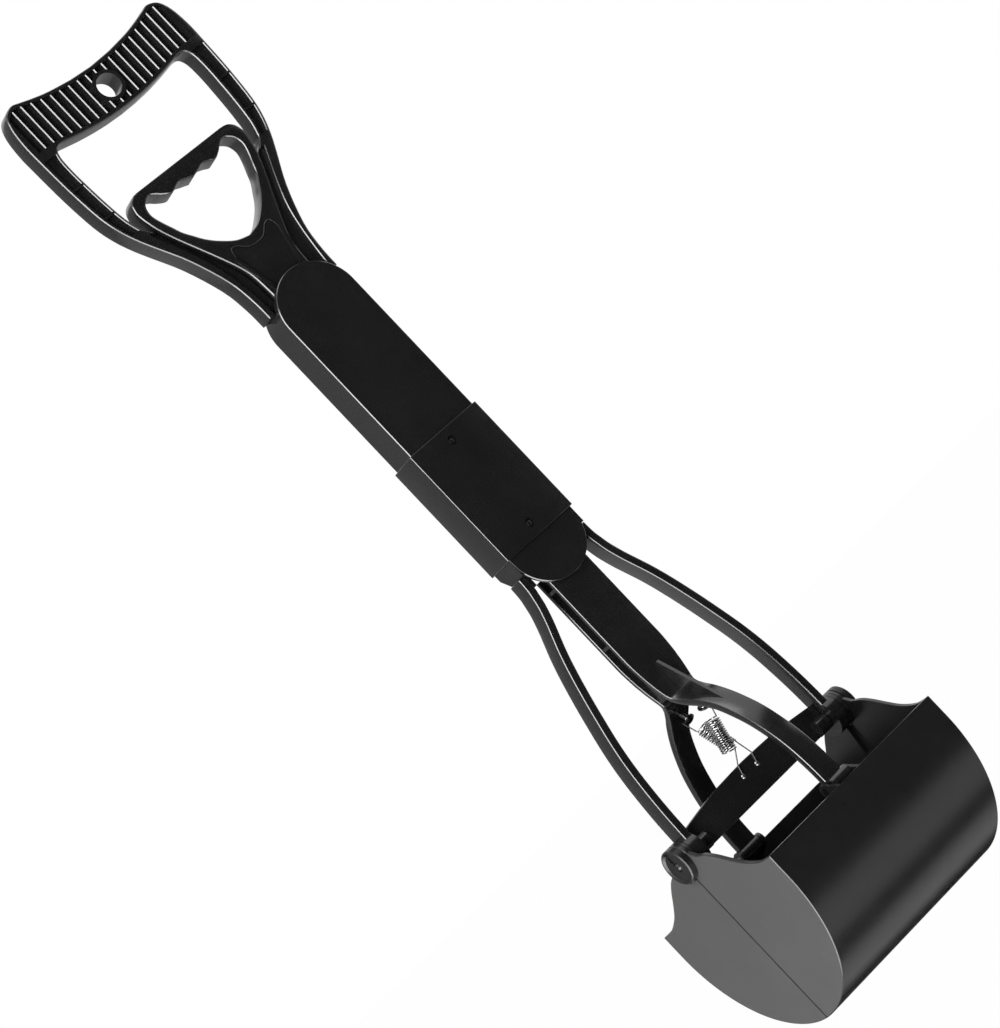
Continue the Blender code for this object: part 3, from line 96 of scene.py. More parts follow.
# Stage and light. Azimuths are in degrees from +X towards +Y; the camera is at 239.
FLOOR_DROP = 0.22
FLOOR_SIZE = 40.0
FLOOR_COLOUR = (0.9, 0.9, 0.9, 1.0)
FLOOR_WHITE_SHARE = 0.985
FLOOR_ROUGHNESS = 0.9
WHITE = (1, 1, 1, 1)
WORLD_FILL = 0.38
LIGHT_MIDDLE = (0, 0, -0.28)

# Lamps. A side lamp's place is its azimuth, distance and height over the light's middle.
STRIP_PLACE = (214, 3.2)
STRIP_SIZE = (0.9, 6.0)
STRIP_RADIANCE = 12.5
TOP_LAMP_PLACE = (0.4, -0.8, 2.6)
TOP_LAMP_SIZE = (1.6, 1.6)
TOP_LAMP_RADIANCE = 2.2
RIGHT_LAMP_PLACE = (330, 3.4, 0.8)
RIGHT_LAMP_SIZE = (1.2, 1.6)
RIGHT_LAMP_RADIANCE = 1.6

# Cards that only reflections see. Upright: name, azimuth, distance, size, level.
UPRIGHT_CARDS = (
    ("card_front", 304, 3.3, (5.0, 6.0), 0.0),
    ("card_back", 121, 3.3, (3.4, 6.0), 0.29),
    ("card_camera", 249, 3.4, (2.1, 4.0), 0.15),
)
# Just over the floor: name, place, size, turn in degrees, level.
LOW_CARD_LIFT = 0.01
LOW_CARDS = (
    ("card_low_back", (0.25, 0.42), (0.7, 0.50), 0, 0.0),
    ("card_low_middle", (0.10, -0.07), (0.8, 0.10), 0, 0.0),
    ("card_low_front", (0.75, -1.82), (2.2, 2.84), 0, 0.0),
    ("card_low_left", (-1.28, -0.50), (2.4, 0.8), 206, 9.0),
)

# Looks
EDGE_FACETS = 2
CHAMFER = 0.0004
SHARP_DEGREES = 25
STRAP_CORNER = 0.0008
RIDGE_HALF_WIDTH = 0.0005
RIDGE_BURY = 0.0006
RIDGE_DROP = 0.00006
RECESS_FOOT_SLOPE = 0.02
LIP_CHAMFER = 0.0004
POCKET_STEPS = 6
WAVE_STEPS = 10
STEM_BORDER_RADIUS = 0.0004
STEM_BORDER_PROUD = 0.00008
TUBE_FACETS = 3
END_FACE_LEVEL = 0.99

# Materials. Noise: scale, detail, then roughness and stretch. Band: where its two ends lie.
PLASTIC_CLOUD = (38.0, 5.0)
PLASTIC_CLOUD_BAND = (0.35, 0.7)
PLASTIC_WARMTH = 0.01
PLASTIC_SHEEN = (95.0, 6.0, 0.7)
PLASTIC_SHEEN_BAND = (0.3, 0.75)
GRAIN_DETAIL = 2.0
STEEL_CLOUD = (160.0, 4.0)
STEEL_SCRATCH = (240.0, 5.0, 0.6, (1.0, 1.0, 9.0))
STEEL_BAND = (0.3, 0.7)
STEEL_DARK_SHARE = 0.82
STEEL_SCRATCH_STRENGTH = 0.06
BUMP_DISTANCE = 0.0001

# Clearances
SEAT_GAP = 0.0003
RUNNING_GAP = 0.0012
OVERRUN = 0.004
SMALL_OVERLAP = 0.0006

# Facets
ARC_STEP_DEGREES = 4
PIN_SEGMENTS = 32
ROUND_SEGMENTS = 64
RUN_STEPS = 4
BAR_STEPS = 12
DOME_STEPS = 4
GRIP_STEPS_PER_RIB = 8
CORNER_STEP_DEGREES = 30
JAW_STEP_DEGREES = 2
BRACKET_STEP_DEGREES = 8

# Handle frame: grip, two hand rails and the neck that enters the upper housing
HANG_HOLE_RADIUS = 0.00685
HANG_BOSS_WALL = 0.0020
HANG_BOSS_PROUD = 0.0003
FRAME_HALF_WIDTH = 0.0602
FRAME_DEPTH = 0.012
SHOULDER_HEIGHT = 0.338
FRAME_RISE = 0.1656
HANG_DROP = 0.0216
FRAME_EDGE_ROUND = 0.0012
RAIL_OUTER_SHARES = (
    (0.422, 0.0), (0.429, 0.074), (0.470, 0.164), (0.603, 0.288), (0.762, 0.390), (0.837, 0.440),
    (0.903, 0.496), (0.951, 0.565), (0.983, 0.680), (0.998, 0.810), (1.0, 0.876), (0.978, 0.942),
    (0.924, 0.984), (0.827, 1.0), (0.739, 0.993), (0.623, 0.981), (0.465, 0.968), (0.233, 0.9565),
)
GRIP_DIP_SHARE = 0.952
OPENING_SHARES = (
    (0.178, 0.789), (0.332, 0.794), (0.498, 0.8025), (0.623, 0.811), (0.706, 0.8164),
    (0.761, 0.8147), (0.794, 0.802), (0.812, 0.779), (0.817, 0.743), (0.8156, 0.7065),
    (0.811, 0.676), (0.796, 0.598), (0.767, 0.513), (0.719, 0.456),
)
OPENING_CREST_SHARE = 0.787
TENON_LENGTH = 0.038
GRIP_RIB_COUNT = 19
GRIP_RIB_PITCH = 0.00571
GRIP_RIB_WIDTH = 0.0010
GRIP_RECESS_DEPTH = 0.0026
GRIP_MARGIN = 0.0024
RAIL_RIB_SHARES = (0.456, 0.551, 0.677, 0.8025)
RAIL_RIB_WIDTH = 0.0012
RAIL_LIP = 0.0020
RAIL_RECESS_DEPTH = 0.0022
RIDGE_INNER_SHARES = (
    (0.352, 0.0), (0.372, 0.072), (0.407, 0.157), (0.465, 0.242), (0.565, 0.326), (0.648, 0.386),
    (0.706, 0.429),
)
RAIL_LEDGE_DROP = 0.0026

# Trigger: finger ring and stem
TRIGGER_RISE = 0.0921
TRIGGER_HALF_WIDTH = 0.0400
TRIGGER_DEPTH = 0.012
TRIGGER_EDGE_ROUND = 0.0012
STEM_NECK_RISE = 0.010
STEM_HALF_WIDTH = 0.0146
STEM_SHANK_HALF_WIDTH = 0.011
STEM_SHANK_DROP = 0.008
STEM_SHOULDER_RISE = 0.0018
RING_FLARE_SHARES = (
    (0.0, 0.0), (0.039, 0.146), (0.134, 0.244), (0.295, 0.353), (0.492, 0.475), (0.693, 0.597),
    (0.819, 0.682), (0.917, 0.761), (0.988, 0.853), (0.996, 0.901), (0.937, 0.957), (0.811, 0.991),
    (0.646, 1.0),
)
RING_FLARE_SEATED = 7
FINGER_TOP_DROP = 0.0051
FINGER_FLOOR_RISE = 0.0398
FINGER_HALF_WIDTH = 0.0338
FINGER_SHARES = (
    (0.231, 0.047), (0.447, 0.153), (0.602, 0.258), (0.712, 0.364), (0.814, 0.470), (0.879, 0.576),
    (0.944, 0.682), (0.997, 0.794), (0.994, 0.873), (0.947, 0.945), (0.828, 1.0), (0.725, 0.975),
    (0.621, 0.919), (0.479, 0.871), (0.367, 0.898), (0.251, 0.919), (0.124, 0.894),
)
FINGER_CREST_SHARE = 0.8665
STEM_RIB_WIDTH = 0.0018
STEM_RIB_PROUD = 0.0008
STEM_RIB_TOP_RISE = 0.0340
STEM_RIB_BASE_RISE = 0.0125
STEM_RIB_TOP_X = 0.0165
STEM_RIB_BASE_X = 0.0112
STEM_PANEL_BASE_RISE = 0.0020
STEM_PANEL_DEPTH = 0.0006
STEM_PANEL_SHARES = (
    (0.0, 0.86), (0.30, 0.875), (0.62, 0.985), (0.84, 1.0), (0.93, 0.90), (0.90, 0.72),
)

# Housings and fold joint
HOUSING_HALF_WIDTH = 0.0239
HOUSING_HALF_DEPTH = 0.0105
HOUSING_WALL = 0.0030
UPPER_PLATE_THICKNESS = 0.0042
UPPER_DISC_DROP = 0.0111
UPPER_FLOOR_RISE = 0.0117
LOWER_PLATE_THICKNESS = 0.0022
LOWER_DISC_DROP = 0.0023
LOWER_PLATE_DROP = 0.0121
LOWER_WALL_DROP = 0.0101
LOWER_WALL_SLOPE = 0.006
FOLD_MIDDLE_HEIGHT = 0.2033
EAR_INSET = 0.0001
RIVET_RADIUS = 0.0030
CENTRE_LINK_HALF_WIDTH = 0.0095
TONGUE_HALF_WIDTH = 0.0037
TONGUE_RADIUS = 0.0051
TONGUE_REACH = 0.0085
CENTRE_PIN_RADIUS = 0.0020

# Locking sleeve and its detent buttons
SLEEVE_WALL = 0.0010
SLEEVE_LENGTH = 0.0714
SLEEVE_CORNER = 0.0006
SLEEVE_HOLE_RADIUS = 0.0028
DETENT_INSET = 0.0073
DETENT_RADIUS = 0.0019
DETENT_DOME = 0.0009
DETENT_SHANK = 0.0016

# Yoke arms
ARM_DEPTH = 0.012
ARM_FORWARD = 0.0012
ARM_THICKNESS = 0.0048
ARM_EDGE_ROUND = 0.0009
ARM_TOP_SPREAD = 0.0234
ARM_SHARES = (
    (0.0, 1.0), (0.012, 0.955), (0.043, 0.922), (0.078, 0.891), (0.130, 0.859), (0.189, 0.827),
    (0.245, 0.800), (0.373, 0.737), (0.491, 0.667), (0.612, 0.584), (0.711, 0.508), (0.817, 0.419),
    (0.891, 0.337), (0.941, 0.254), (0.978, 0.159), (0.994, 0.076), (1.0, 0.0),
)
ARM_TAB_THICKNESS = 0.0018
ARM_TAB_DROP = 0.0077
EYE_RADIUS = 0.0102
EYE_BOSS_REACH = 0.0044

# Jaw hinge: ears, pins and caps
EAR_THICKNESS = 0.0020
HINGE_PIN_RADIUS = 0.0024
HINGE_TIP_RADIUS = 0.0017
CAP_RADIUS = 0.0102
CAP_THICKNESS = 0.0040
CAP_STEP = 0.0012
CAP_STEP_DEPTH = 0.0009
CAP_SLOT_DEPTH = 0.0015
CAP_SLOT_SHARES = ((-0.16, 0.30), (-0.34, 0.86), (0.12, 0.92), (0.16, 0.30))

# Cross bar with its bored end bosses
BAR_THICKNESS = 0.0022
BAR_FRONT_Y = -0.0012
BAR_BOTTOM = -0.0042
BAR_TOP = 0.0108
BAR_BOW = 0.0044
BAR_SHOULDER_SHARE = 0.75
BAR_BOSS_RADIUS = 0.0046
BAR_BOSS_LENGTH = 0.0080
BAR_BORE_DEPTH = 0.0060
BAR_HOLE_RADIUS = 0.0013
BAR_HOLE_X = 0.0055
BAR_HOLE_HEIGHT = 0.0092

# Jaws
JAW_HALF_LENGTH = 0.0648
JAW_RADIUS = 0.0670
JAW_CENTRE_HEIGHT = -0.0370
JAW_RIM_HEIGHT = -0.0236
JAW_WALL = 0.0022
JAW_TOP_SHARES = (
    (0.836, 0.970), (0.672, 0.797), (0.540, 0.555), (0.433, 0.335), (0.328, 0.160), (0.222, 0.064),
)
FRONT_EAR_DEGREES = (14, 268)
BACK_EAR_DEGREES = (-4, -88)
NOTCH_COUNT = 7
NOTCH_END_INSET = 0.0131
NOTCH_HALF_WIDTH = 0.0046
NOTCH_DEPTH = 0.0070
NOTCH_SHARES = ((1.0, 0.0), (0.62, 0.62), (0.34, 0.92), (0.0, 1.0))
DOUBLER_REACH = 0.0270
DOUBLER_SPREAD_DEGREES = (-78, -22)
DOUBLER_EASE_DEGREES = 2

# Pins of the wishbone feet and their brackets on the jaws
FOOT_PIN_INSET = 0.0135
FOOT_PIN_HEIGHT = -0.0220
FOOT_PIN_RADIUS = 0.0017
FOOT_WALL = 0.0013
FOOT_SLOT_PLAY = 0.0007
FOOT_PROUD = 0.0002
BRACKET_THICKNESS = 0.0022
BRACKET_RADIUS = 0.0038
BRACKET_FALL_SHARE = 2.2
BRACKET_DEGREES = (70, 250)

# Pull rod and wishbone
ROD_HALF_WIDTH = 0.0135
ROD_HALF_DEPTH = 0.0060
ROD_FORWARD = 0.0013
ROD_FLANGE = 0.0026
ROD_STRAP_DROP = 0.0426
ROD_NOTCH_DEPTH = 0.0045
ROD_CORE_HALF_WIDTH = 0.0086
ROD_CORE_BOTTOM = 0.0635
ROD_RIB_THICKNESS = 0.0018
ROD_RIB_HEIGHTS = (0.0650, 0.1027, 0.1415)
ROD_RIB_INSET = 0.0005
TAPER_TOP = 0.0900
ARM_STRAP_HALF_WIDTH = 0.0062
ARM_STRAP_THICKNESS = 0.0046
WISHBONE_SHARES = (
    (0.0, 1.0), (0.0, 0.80), (0.004, 0.768), (0.020, 0.745), (0.078, 0.719), (0.180, 0.6875),
    (0.297, 0.657), (0.471, 0.598), (0.613, 0.530), (0.746, 0.450), (0.846, 0.365), (0.920, 0.280),
    (0.965, 0.195), (0.990, 0.110), (0.998, 0.042), (1.0, 0.0),
)
STRAP_TAPER_SHARES = (
    (0.0, 0.0), (0.038, 0.04), (0.077, 0.10), (0.115, 0.19), (0.154, 0.315), (0.192, 0.475),
    (0.220, 0.61), (0.251, 0.72), (0.298, 0.82), (0.349, 0.92), (0.432, 1.0), (1.0, 1.0),
)
STRAP_THICKEN_SHARES = ((0.0, 0.0), (0.190, 0.0), (0.270, 0.6), (0.350, 1.0), (1.0, 1.0))
WEB_HALF_WIDTH = 0.0009
WEB_TOP = 0.0810
WEB_FOOT = 0.0390
WEB_PROUD = 0.0010
WEB_FOOT_REACH = 0.0018

# Spring anchors and springs
ANCHOR_SHARE = 0.30
ANCHOR_RADIUS = 0.0013
ANCHOR_REACH = 0.0055
ANCHOR_DEPTH = 0.0018
ANCHOR_HEAD_RADIUS = 0.0032
ANCHOR_HEAD_THICKNESS = 0.0015
SPRING_WIRE_RADIUS = 0.00038
SPRING_COIL_RADIUS = 0.0038
SPRING_CURLS = 15
SPRING_HALF_TURN = 0.5
SPRING_POINTS_PER_CURL = 20
SPRING_PITCH = 0.00122
SPRING_COIL_TOP = 0.0410
SPRING_TAIL_LEAN = 0.0016
SPRING_HOOK_POINTS = 25
SPRING_HOOK_DEGREES = 250


class Nodes:
    """A short hand for building a shader tree."""

    def __init__(self, owner):
        owner.use_nodes = True
        self.nodes = owner.node_tree.nodes
        self.links = owner.node_tree.links
        self.shader = self.nodes.get("Principled BSDF")

    def add(self, kind, **inputs):
        """A new node, with values for some of its inputs."""
        node = self.nodes.new(kind)
        for socket, value in inputs.items():
            node.inputs[socket].default_value = value
        return node

    def feed(self, source, into):
        """Links an output to an input, or sets the input where the source is a number."""
        if isinstance(source, float):
            into.default_value = source
        else:
            self.links.new(source, into)

    def noise(self, scale, detail, roughness=0.6, stretch=None):
        out = self.add("ShaderNodeTexCoord").outputs["Object"]
        if stretch:
            shape = self.add("ShaderNodeMapping", Scale=stretch)
            self.feed(out, shape.inputs["Vector"])
            out = shape.outputs["Vector"]
        made = self.add("ShaderNodeTexNoise", Scale=scale, Detail=detail, Roughness=roughness)
        self.feed(out, made.inputs["Vector"])
        return made.outputs["Fac"]

    def ramp(self, value, band, colours, socket):
        """A blend between two colours, as an input of the shader."""
        made = self.add("ShaderNodeValToRGB")
        for element, place, colour in zip(made.color_ramp.elements, band, colours):
            element.position = place
            element.color = colour
        self.feed(value, made.inputs["Fac"])
        self.feed(made.outputs["Color"], self.shader.inputs[socket])

    def bump(self, height, strength):
        made = self.add("ShaderNodeBump", Strength=strength, Distance=BUMP_DISTANCE)
        self.feed(height, made.inputs["Height"])
        self.feed(made.outputs["Normal"], self.shader.inputs["Normal"])

    def maths(self, operation, first, second):
        made = self.add("ShaderNodeMath")
        made.operation = operation
        self.feed(first, made.inputs[0])
        self.feed(second, made.inputs[1])
        return made.outputs[0]

    def show_mix(self, share, first, second, output):
        """Sends two shaders, mixed by a share, to the output's surface."""
        made = self.add("ShaderNodeMixShader")
        self.feed(share, made.inputs["Fac"])
        self.feed(first.outputs[0], made.inputs[1])
        self.feed(second.outputs[0], made.inputs[2])
        self.feed(made.outputs[0], output.inputs["Surface"])


def grey(level, warmth=0.0):
    return (level * (1 + warmth), level, level * (1 - warmth / 2), 1.0)


def plastic(name, dark, light, rough_low, rough_high, specular, grain, depth):
    """Moulded plastic: cloudy colour, worn sheen and a fine spark-eroded grain."""
    made = bpy.data.materials.new(name)
    tree = Nodes(made)
    tree.shader.inputs["Specular IOR Level"].default_value = specular
    tree.ramp(tree.noise(*PLASTIC_CLOUD), PLASTIC_CLOUD_BAND,
              (grey(dark, PLASTIC_WARMTH), grey(light, PLASTIC_WARMTH)), "Base Color")
    tree.ramp(tree.noise(*PLASTIC_SHEEN), PLASTIC_SHEEN_BAND,
              (grey(rough_low), grey(rough_high)), "Roughness")
    tree.bump(tree.noise(grain, GRAIN_DETAIL), depth)
    return made


def steel(name, level, rough_low, rough_high):
    """Steel: cloudy level, and scratches that also roughen it."""
    made = bpy.data.materials.new(name)
    tree = Nodes(made)
    tree.shader.inputs["Metallic"].default_value = 1.0
    tree.ramp(tree.noise(*STEEL_CLOUD), STEEL_BAND,
              (grey(level * STEEL_DARK_SHARE), grey(level)), "Base Color")
    scratch = tree.noise(*STEEL_SCRATCH)
    tree.ramp(scratch, STEEL_BAND, (grey(rough_low), grey(rough_high)), "Roughness")
    tree.bump(scratch, STEEL_SCRATCH_STRENGTH)
    return made


black_plastic = plastic("moulded_black", 0.0084, 0.0110, 0.17, 0.25, 0.85, 2600.0, 0.045)
cap_plastic = plastic("hinge_cap_black", 0.0040, 0.0058, 0.30, 0.40, 0.40, 2600.0, 0.05)
grey_plastic = plastic("scoop_shell", 0.0072, 0.0092, 0.27, 0.33, 0.6, 3200.0, 0.05)
# Painted light: the jaws' end faces get a colour about nine times lighter than the shell, for the
# side light they catch
end_face_painted_light = plastic("scoop_end_plate", 0.067, 0.073, 0.42, 0.50, 0.35, 3200.0, 0.06)
# Painted shade: the faces where the two jaws meet get a darker, duller colour for the shade in the
# gap between them
seam_painted_shade = plastic("scoop_seam", 0.0040, 0.0055, 0.60, 0.70, 0.1, 3200.0, 0.05)
bright_steel = steel("bright_steel", 0.32, 0.12, 0.22)
dark_steel = steel("dark_steel", 0.06, 0.22, 0.34)

FINISH = {
    "black_plastic": black_plastic,
    "scoop_plastic": grey_plastic,
    "bright_steel": bright_steel,
    "dark_steel": dark_steel,
}

parts = bpy.data.collections.new("look_sources")
cutters = bpy.data.collections.new("look_cutters")
bpy.context.scene.collection.children.link(parts)
bpy.context.scene.collection.children.link(cutters)
SOURCE_MARK = "_source"
SPRINGS = ("spring_front", "spring_back")


def empty(name, parent=None):
    """A marker on a joint axis. Every joint axis meets the middle of the jaw hinge line."""
    made = bpy.data.objects.new("look_" + name, None)
    parts.objects.link(made)
    made.parent = parent
    return made


frame_top = SHOULDER_HEIGHT + FRAME_RISE
hang_height = frame_top - HANG_DROP

hinge_line = empty("jaw_hinge_line")
hinge_line.location = (0, 0, -hang_height)
trigger_axis = empty("trigger_axis", hinge_line)
sleeve_axis = empty("sleeve_axis", hinge_line)
front_jaw_axis = empty("front_jaw_axis", hinge_line)
back_jaw_axis = empty("back_jaw_axis", hinge_line)

PLANES = {
    "XY": Matrix.Identity(4),
    "XZ": Matrix.Rotation(math.radians(90), 4, "X"),
    "YZ": Matrix.Rotation(math.radians(90), 4, "Z") @ Matrix.Rotation(math.radians(90), 4, "X"),
}


def add(mesh, name, parent, finish, tool=False):
    made = bpy.data.objects.new(name + SOURCE_MARK, mesh)
    (cutters if tool else parts).objects.link(made)
    made.parent = parent
    if finish:
        mesh.materials.append(finish)
    return made


def mesh_of(shape, name):
    """A new mesh with the shape, which is freed."""
    mesh = bpy.data.meshes.new(name)
    shape.to_mesh(mesh)
    shape.free()
    return mesh


def curve_of(name, outlines, closed=True, **settings):
    """A curve with straight lines through the (x, y, z) points of each outline."""
    curve = bpy.data.curves.new(name, "CURVE")
    for key, value in settings.items():
        setattr(curve, key, value)
    for points in outlines:
        spline = curve.splines.new("POLY")
        spline.points.add(len(points) - 1)
        for slot, point in zip(spline.points, points):
            slot.co = (*point, 1)
        spline.use_cyclic_u = closed
    return curve


def mesh_of_curve(curve):
    guide = bpy.data.objects.new(curve.name, curve)
    cutters.objects.link(guide)
    bpy.context.view_layer.update()
    graph = bpy.context.evaluated_depsgraph_get()
    mesh = bpy.data.meshes.new_from_object(guide.evaluated_get(graph))
    bpy.data.objects.remove(guide, do_unlink=True)
    return mesh


def plate(name, outlines, thickness, plane, parent=hinge_line, finish=None, tool=False,
          middle=0.0, edge_round=0.0):
    """A flat outline, holes after it, as thick as given about the middle of its own plane."""
    mesh = mesh_of_curve(curve_of(
        name + "_outline", [[(x, y, 0) for x, y in points] for points in outlines],
        dimensions="2D", fill_mode="BOTH", extrude=thickness / 2 - edge_round,
        bevel_depth=edge_round, bevel_resolution=EDGE_FACETS if edge_round > CHAMFER else 0,
        offset=-edge_round))
    shape = bmesh.new()
    shape.from_mesh(mesh)
    bmesh.ops.remove_doubles(shape, verts=shape.verts, dist=SEAT_GAP / 100)
    bmesh.ops.recalc_face_normals(shape, faces=shape.faces)
    shape.to_mesh(mesh)
    shape.free()
    mesh.materials.clear()
    made = add(mesh, name, parent, finish, tool)
    normal = PLANES[plane] @ Vector((0, 0, 1))
    made.matrix_local = Matrix.Translation(normal * middle) @ PLANES[plane]
    return made


def block(name, low, high, parent=hinge_line, finish=None, tool=False):
    """A box between two corners."""
    shape = bmesh.new()
    bmesh.ops.create_cube(shape, size=1)
    size = [b - a for a, b in zip(low, high)]
    bmesh.ops.scale(shape, vec=size, verts=shape.verts)
    made = add(mesh_of(shape, name), name, parent, finish, tool)
    made.location = [(a + b) / 2 for a, b in zip(low, high)]
    return made


def cylinder(name, radius, start, end, parent=hinge_line, finish=None, tool=False,
             segments=PIN_SEGMENTS):
    """A round bar from start to end."""
    start, end = Vector(start), Vector(end)
    run = end - start
    shape = bmesh.new()
    bmesh.ops.create_cone(shape, cap_ends=True, segments=segments, radius1=radius, radius2=radius,
                          depth=run.length)
    made = add(mesh_of(shape, name), name, parent, finish, tool)
    turn = run.to_track_quat("Z", "Y").to_matrix().to_4x4()
    made.matrix_local = Matrix.Translation((start + end) / 2) @ turn
    return made


def turned(name, profile, base, direction, parent=hinge_line, finish=None, segments=PIN_SEGMENTS):
    """A profile of (radius, height) from its top down, turned about a line through base."""
    shape = bmesh.new()
    verts = [shape.verts.new((radius, 0, height)) for radius, height in profile]
    for first, second in zip(verts, verts[1:]):
        shape.edges.new((first, second))
    made = add(mesh_of(shape, name), name, parent, finish)
    screw = made.modifiers.new("turn", "SCREW")
    screw.axis = "Z"
    screw.steps = screw.render_steps = segments
    screw.use_merge_vertices = True
    screw.merge_threshold = SEAT_GAP / 100
    screw.use_smooth_shade = False
    turn = Vector(direction).to_track_quat("Z", "Y").to_matrix().to_4x4()
    made.matrix_local = Matrix.Translation(base) @ turn
    return made


def boolean(target, other, operation):
    change = target.modifiers.new(other.name, "BOOLEAN")
    change.operation = operation
    change.solver = "EXACT"
    change.object = other


def cut(target, *tools):
    for other in tools:
        boolean(target, other, "DIFFERENCE")


def join(target, *tools):
    for other in tools:
        boolean(target, other, "UNION")


def smooth_run(points, steps=RUN_STEPS):
    """A Catmull-Rom run through points, with its two ends kept."""
    ends = [points[0]] + list(points) + [points[-1]]
    run = []
    for p0, p1, p2, p3 in zip(ends, ends[1:], ends[2:], ends[3:]):
        for step in range(steps):
            t = step / steps
            run.append(tuple(
                (2 * b + (c - a) * t + (2 * a - 5 * b + 4 * c - d) * t * t
                 + (3 * b - a - 3 * c + d) * t * t * t) / 2
                for a, b, c, d in zip(p0, p1, p2, p3)))
    return run + [tuple(points[-1])]


def arc(centre, radius, start, end, step=ARC_STEP_DEGREES):
    """Points from start to end, in degrees, both ends included."""
    count = max(2, math.ceil(abs(end - start) / step))
    angles = [math.radians(start + (end - start) * i / count) for i in range(count + 1)]
    return [(centre[0] + radius * math.cos(a), centre[1] + radius * math.sin(a)) for a in angles]


def mirrored(half):
    """A closed outline from a half that starts and ends on the middle line or beside it."""
    return list(half) + [(-x, y) for x, y in reversed(half) if x != 0]


def flipped(outline, side):
    """The outline as it is for a side of 1, and mirrored for -1."""
    return [(side * x, y) for x, y in outline]


def shared(shares, half_width, bottom, top):
    """Points given as shares of a half width and of the rise from bottom to top."""
    return [(x * half_width, bottom + y * (top - bottom)) for x, y in shares]


def at_height(run, height):
    """The x of a run at a height, where the run climbs or falls steadily."""
    for (x0, y0), (x1, y1) in zip(run, run[1:]):
        if min(y0, y1) <= height <= max(y0, y1) and y0 != y1:
            return x0 + (x1 - x0) * (height - y0) / (y1 - y0)
    nearest = min(run, key=lambda point: abs(point[1] - height))
    return nearest[0]


def at_x(run, x):
    """The height of a run at an x, with the run taken as even about the middle."""
    return at_height([(y, px) for px, y in run], abs(x))


def line_normals(run):
    """Unit normals that point to the left of the run."""
    normals = []
    for index in range(len(run)):
        x0, y0 = run[max(index - 1, 0)]
        x1, y1 = run[min(index + 1, len(run) - 1)]
        length = math.hypot(x1 - x0, y1 - y0)
        normals.append((-(y1 - y0) / length, (x1 - x0) / length))
    return normals


def offset_run(run, distance):
    """The run moved sideways, to its left for a positive distance."""
    return [(x + across * distance, y + up * distance)
            for (x, y), (across, up) in zip(run, line_normals(run))]


def stadium(first, second, radius):
    """A round-ended outline about two centres."""
    angle = math.degrees(math.atan2(second[1] - first[1], second[0] - first[0]))
    return arc(second, radius, angle - 90, angle + 90) + arc(first, radius, angle + 90, angle + 270)


# Runs that several pieces share
trigger_top = SHOULDER_HEIGHT + TRIGGER_RISE
stem_neck = SHOULDER_HEIGHT + STEM_NECK_RISE
ring_half = smooth_run([
    (STEM_HALF_WIDTH + x * (TRIGGER_HALF_WIDTH - STEM_HALF_WIDTH),
     stem_neck + y * (trigger_top - stem_neck))
    for x, y in RING_FLARE_SHARES])
rail_outer = smooth_run(shared(RAIL_OUTER_SHARES, FRAME_HALF_WIDTH, SHOULDER_HEIGHT, frame_top))
opening_run = smooth_run(shared(OPENING_SHARES, FRAME_HALF_WIDTH, SHOULDER_HEIGHT, frame_top))
ridge_run = smooth_run(shared(RIDGE_INNER_SHARES, FRAME_HALF_WIDTH, SHOULDER_HEIGHT, frame_top))
grip_dip = SHOULDER_HEIGHT + GRIP_DIP_SHARE * FRAME_RISE
opening_crest = SHOULDER_HEIGHT + OPENING_CREST_SHARE * FRAME_RISE
housing_inner_x = HOUSING_HALF_WIDTH - HOUSING_WALL
housing_inner_y = HOUSING_HALF_DEPTH - UPPER_PLATE_THICKNESS
seated_run = offset_run(ring_half[:RING_FLARE_SEATED * RUN_STEPS], -RUNNING_GAP)
stem_side_x = STEM_HALF_WIDTH + RUNNING_GAP


def make_handle_frame():
    tenon_outer = housing_inner_x - SEAT_GAP
    tenon_foot = SHOULDER_HEIGHT - TENON_LENGTH
    inner = [(0, opening_crest)] + opening_run + list(reversed(seated_run))
    half = (
        inner
        + [(stem_side_x, tenon_foot), (tenon_outer, tenon_foot), (tenon_outer, SHOULDER_HEIGHT)]
        + rail_outer
        + [(0, grip_dip)]
    )
    frame = plate("handle_frame", [mirrored(half)], FRAME_DEPTH, "XZ", finish=black_plastic,
                  edge_round=FRAME_EDGE_ROUND)
    front = -FRAME_DEPTH / 2
    cut(frame, grip_recess(front), *rail_pockets(front), *rail_ledges(front))
    join(frame, grip_ribs(front))
    boss_radius = HANG_HOLE_RADIUS + HANG_BOSS_WALL
    join(frame, cylinder("hang_boss", boss_radius, (0, front - HANG_BOSS_PROUD, hang_height),
                         (0, 0, hang_height), tool=True, segments=ROUND_SEGMENTS))
    cut(frame, cylinder("hang_hole", HANG_HOLE_RADIUS, (0, -FRAME_DEPTH, hang_height),
                        (0, FRAME_DEPTH, hang_height), tool=True, segments=ROUND_SEGMENTS))


def prisms(name, outlines, near, far, parent=hinge_line):
    """Separate upright prisms between two values of y, as one cutter."""
    return plate(name, outlines, far - near, "XZ", parent, tool=True, middle=-(near + far) / 2)


def grip_edges(x, inset):
    """Heights of the grip's lower and upper edge at an x, moved in by the inset."""
    shoulder = max(rail_outer, key=lambda point: point[0])
    top_run = [point for point in rail_outer if point[1] > shoulder[1]] + [(0, grip_dip)]
    low_run = [(0, opening_crest)] + opening_run
    return grip_low(low_run, x) + inset, at_x(top_run, x) - inset


def grip_recess(front):
    """The dished field that the ribs stand in: its ends follow the grip's two long edges."""
    half = (GRIP_RIB_COUNT + 1) / 2 * GRIP_RIB_PITCH - GRIP_RIB_WIDTH / 2
    count = GRIP_STEPS_PER_RIB * (GRIP_RIB_COUNT + 1)
    places = [half * (2 * i / count - 1) for i in range(count + 1)]
    edges = [grip_edges(x, GRIP_MARGIN) for x in places]
    outline = [(x, low) for x, (low, high) in zip(places, edges)]
    outline += [(x, high) for x, (low, high) in reversed(list(zip(places, edges)))]
    return prisms("grip_recess", [outline], front - OVERRUN, front + GRIP_RECESS_DEPTH)


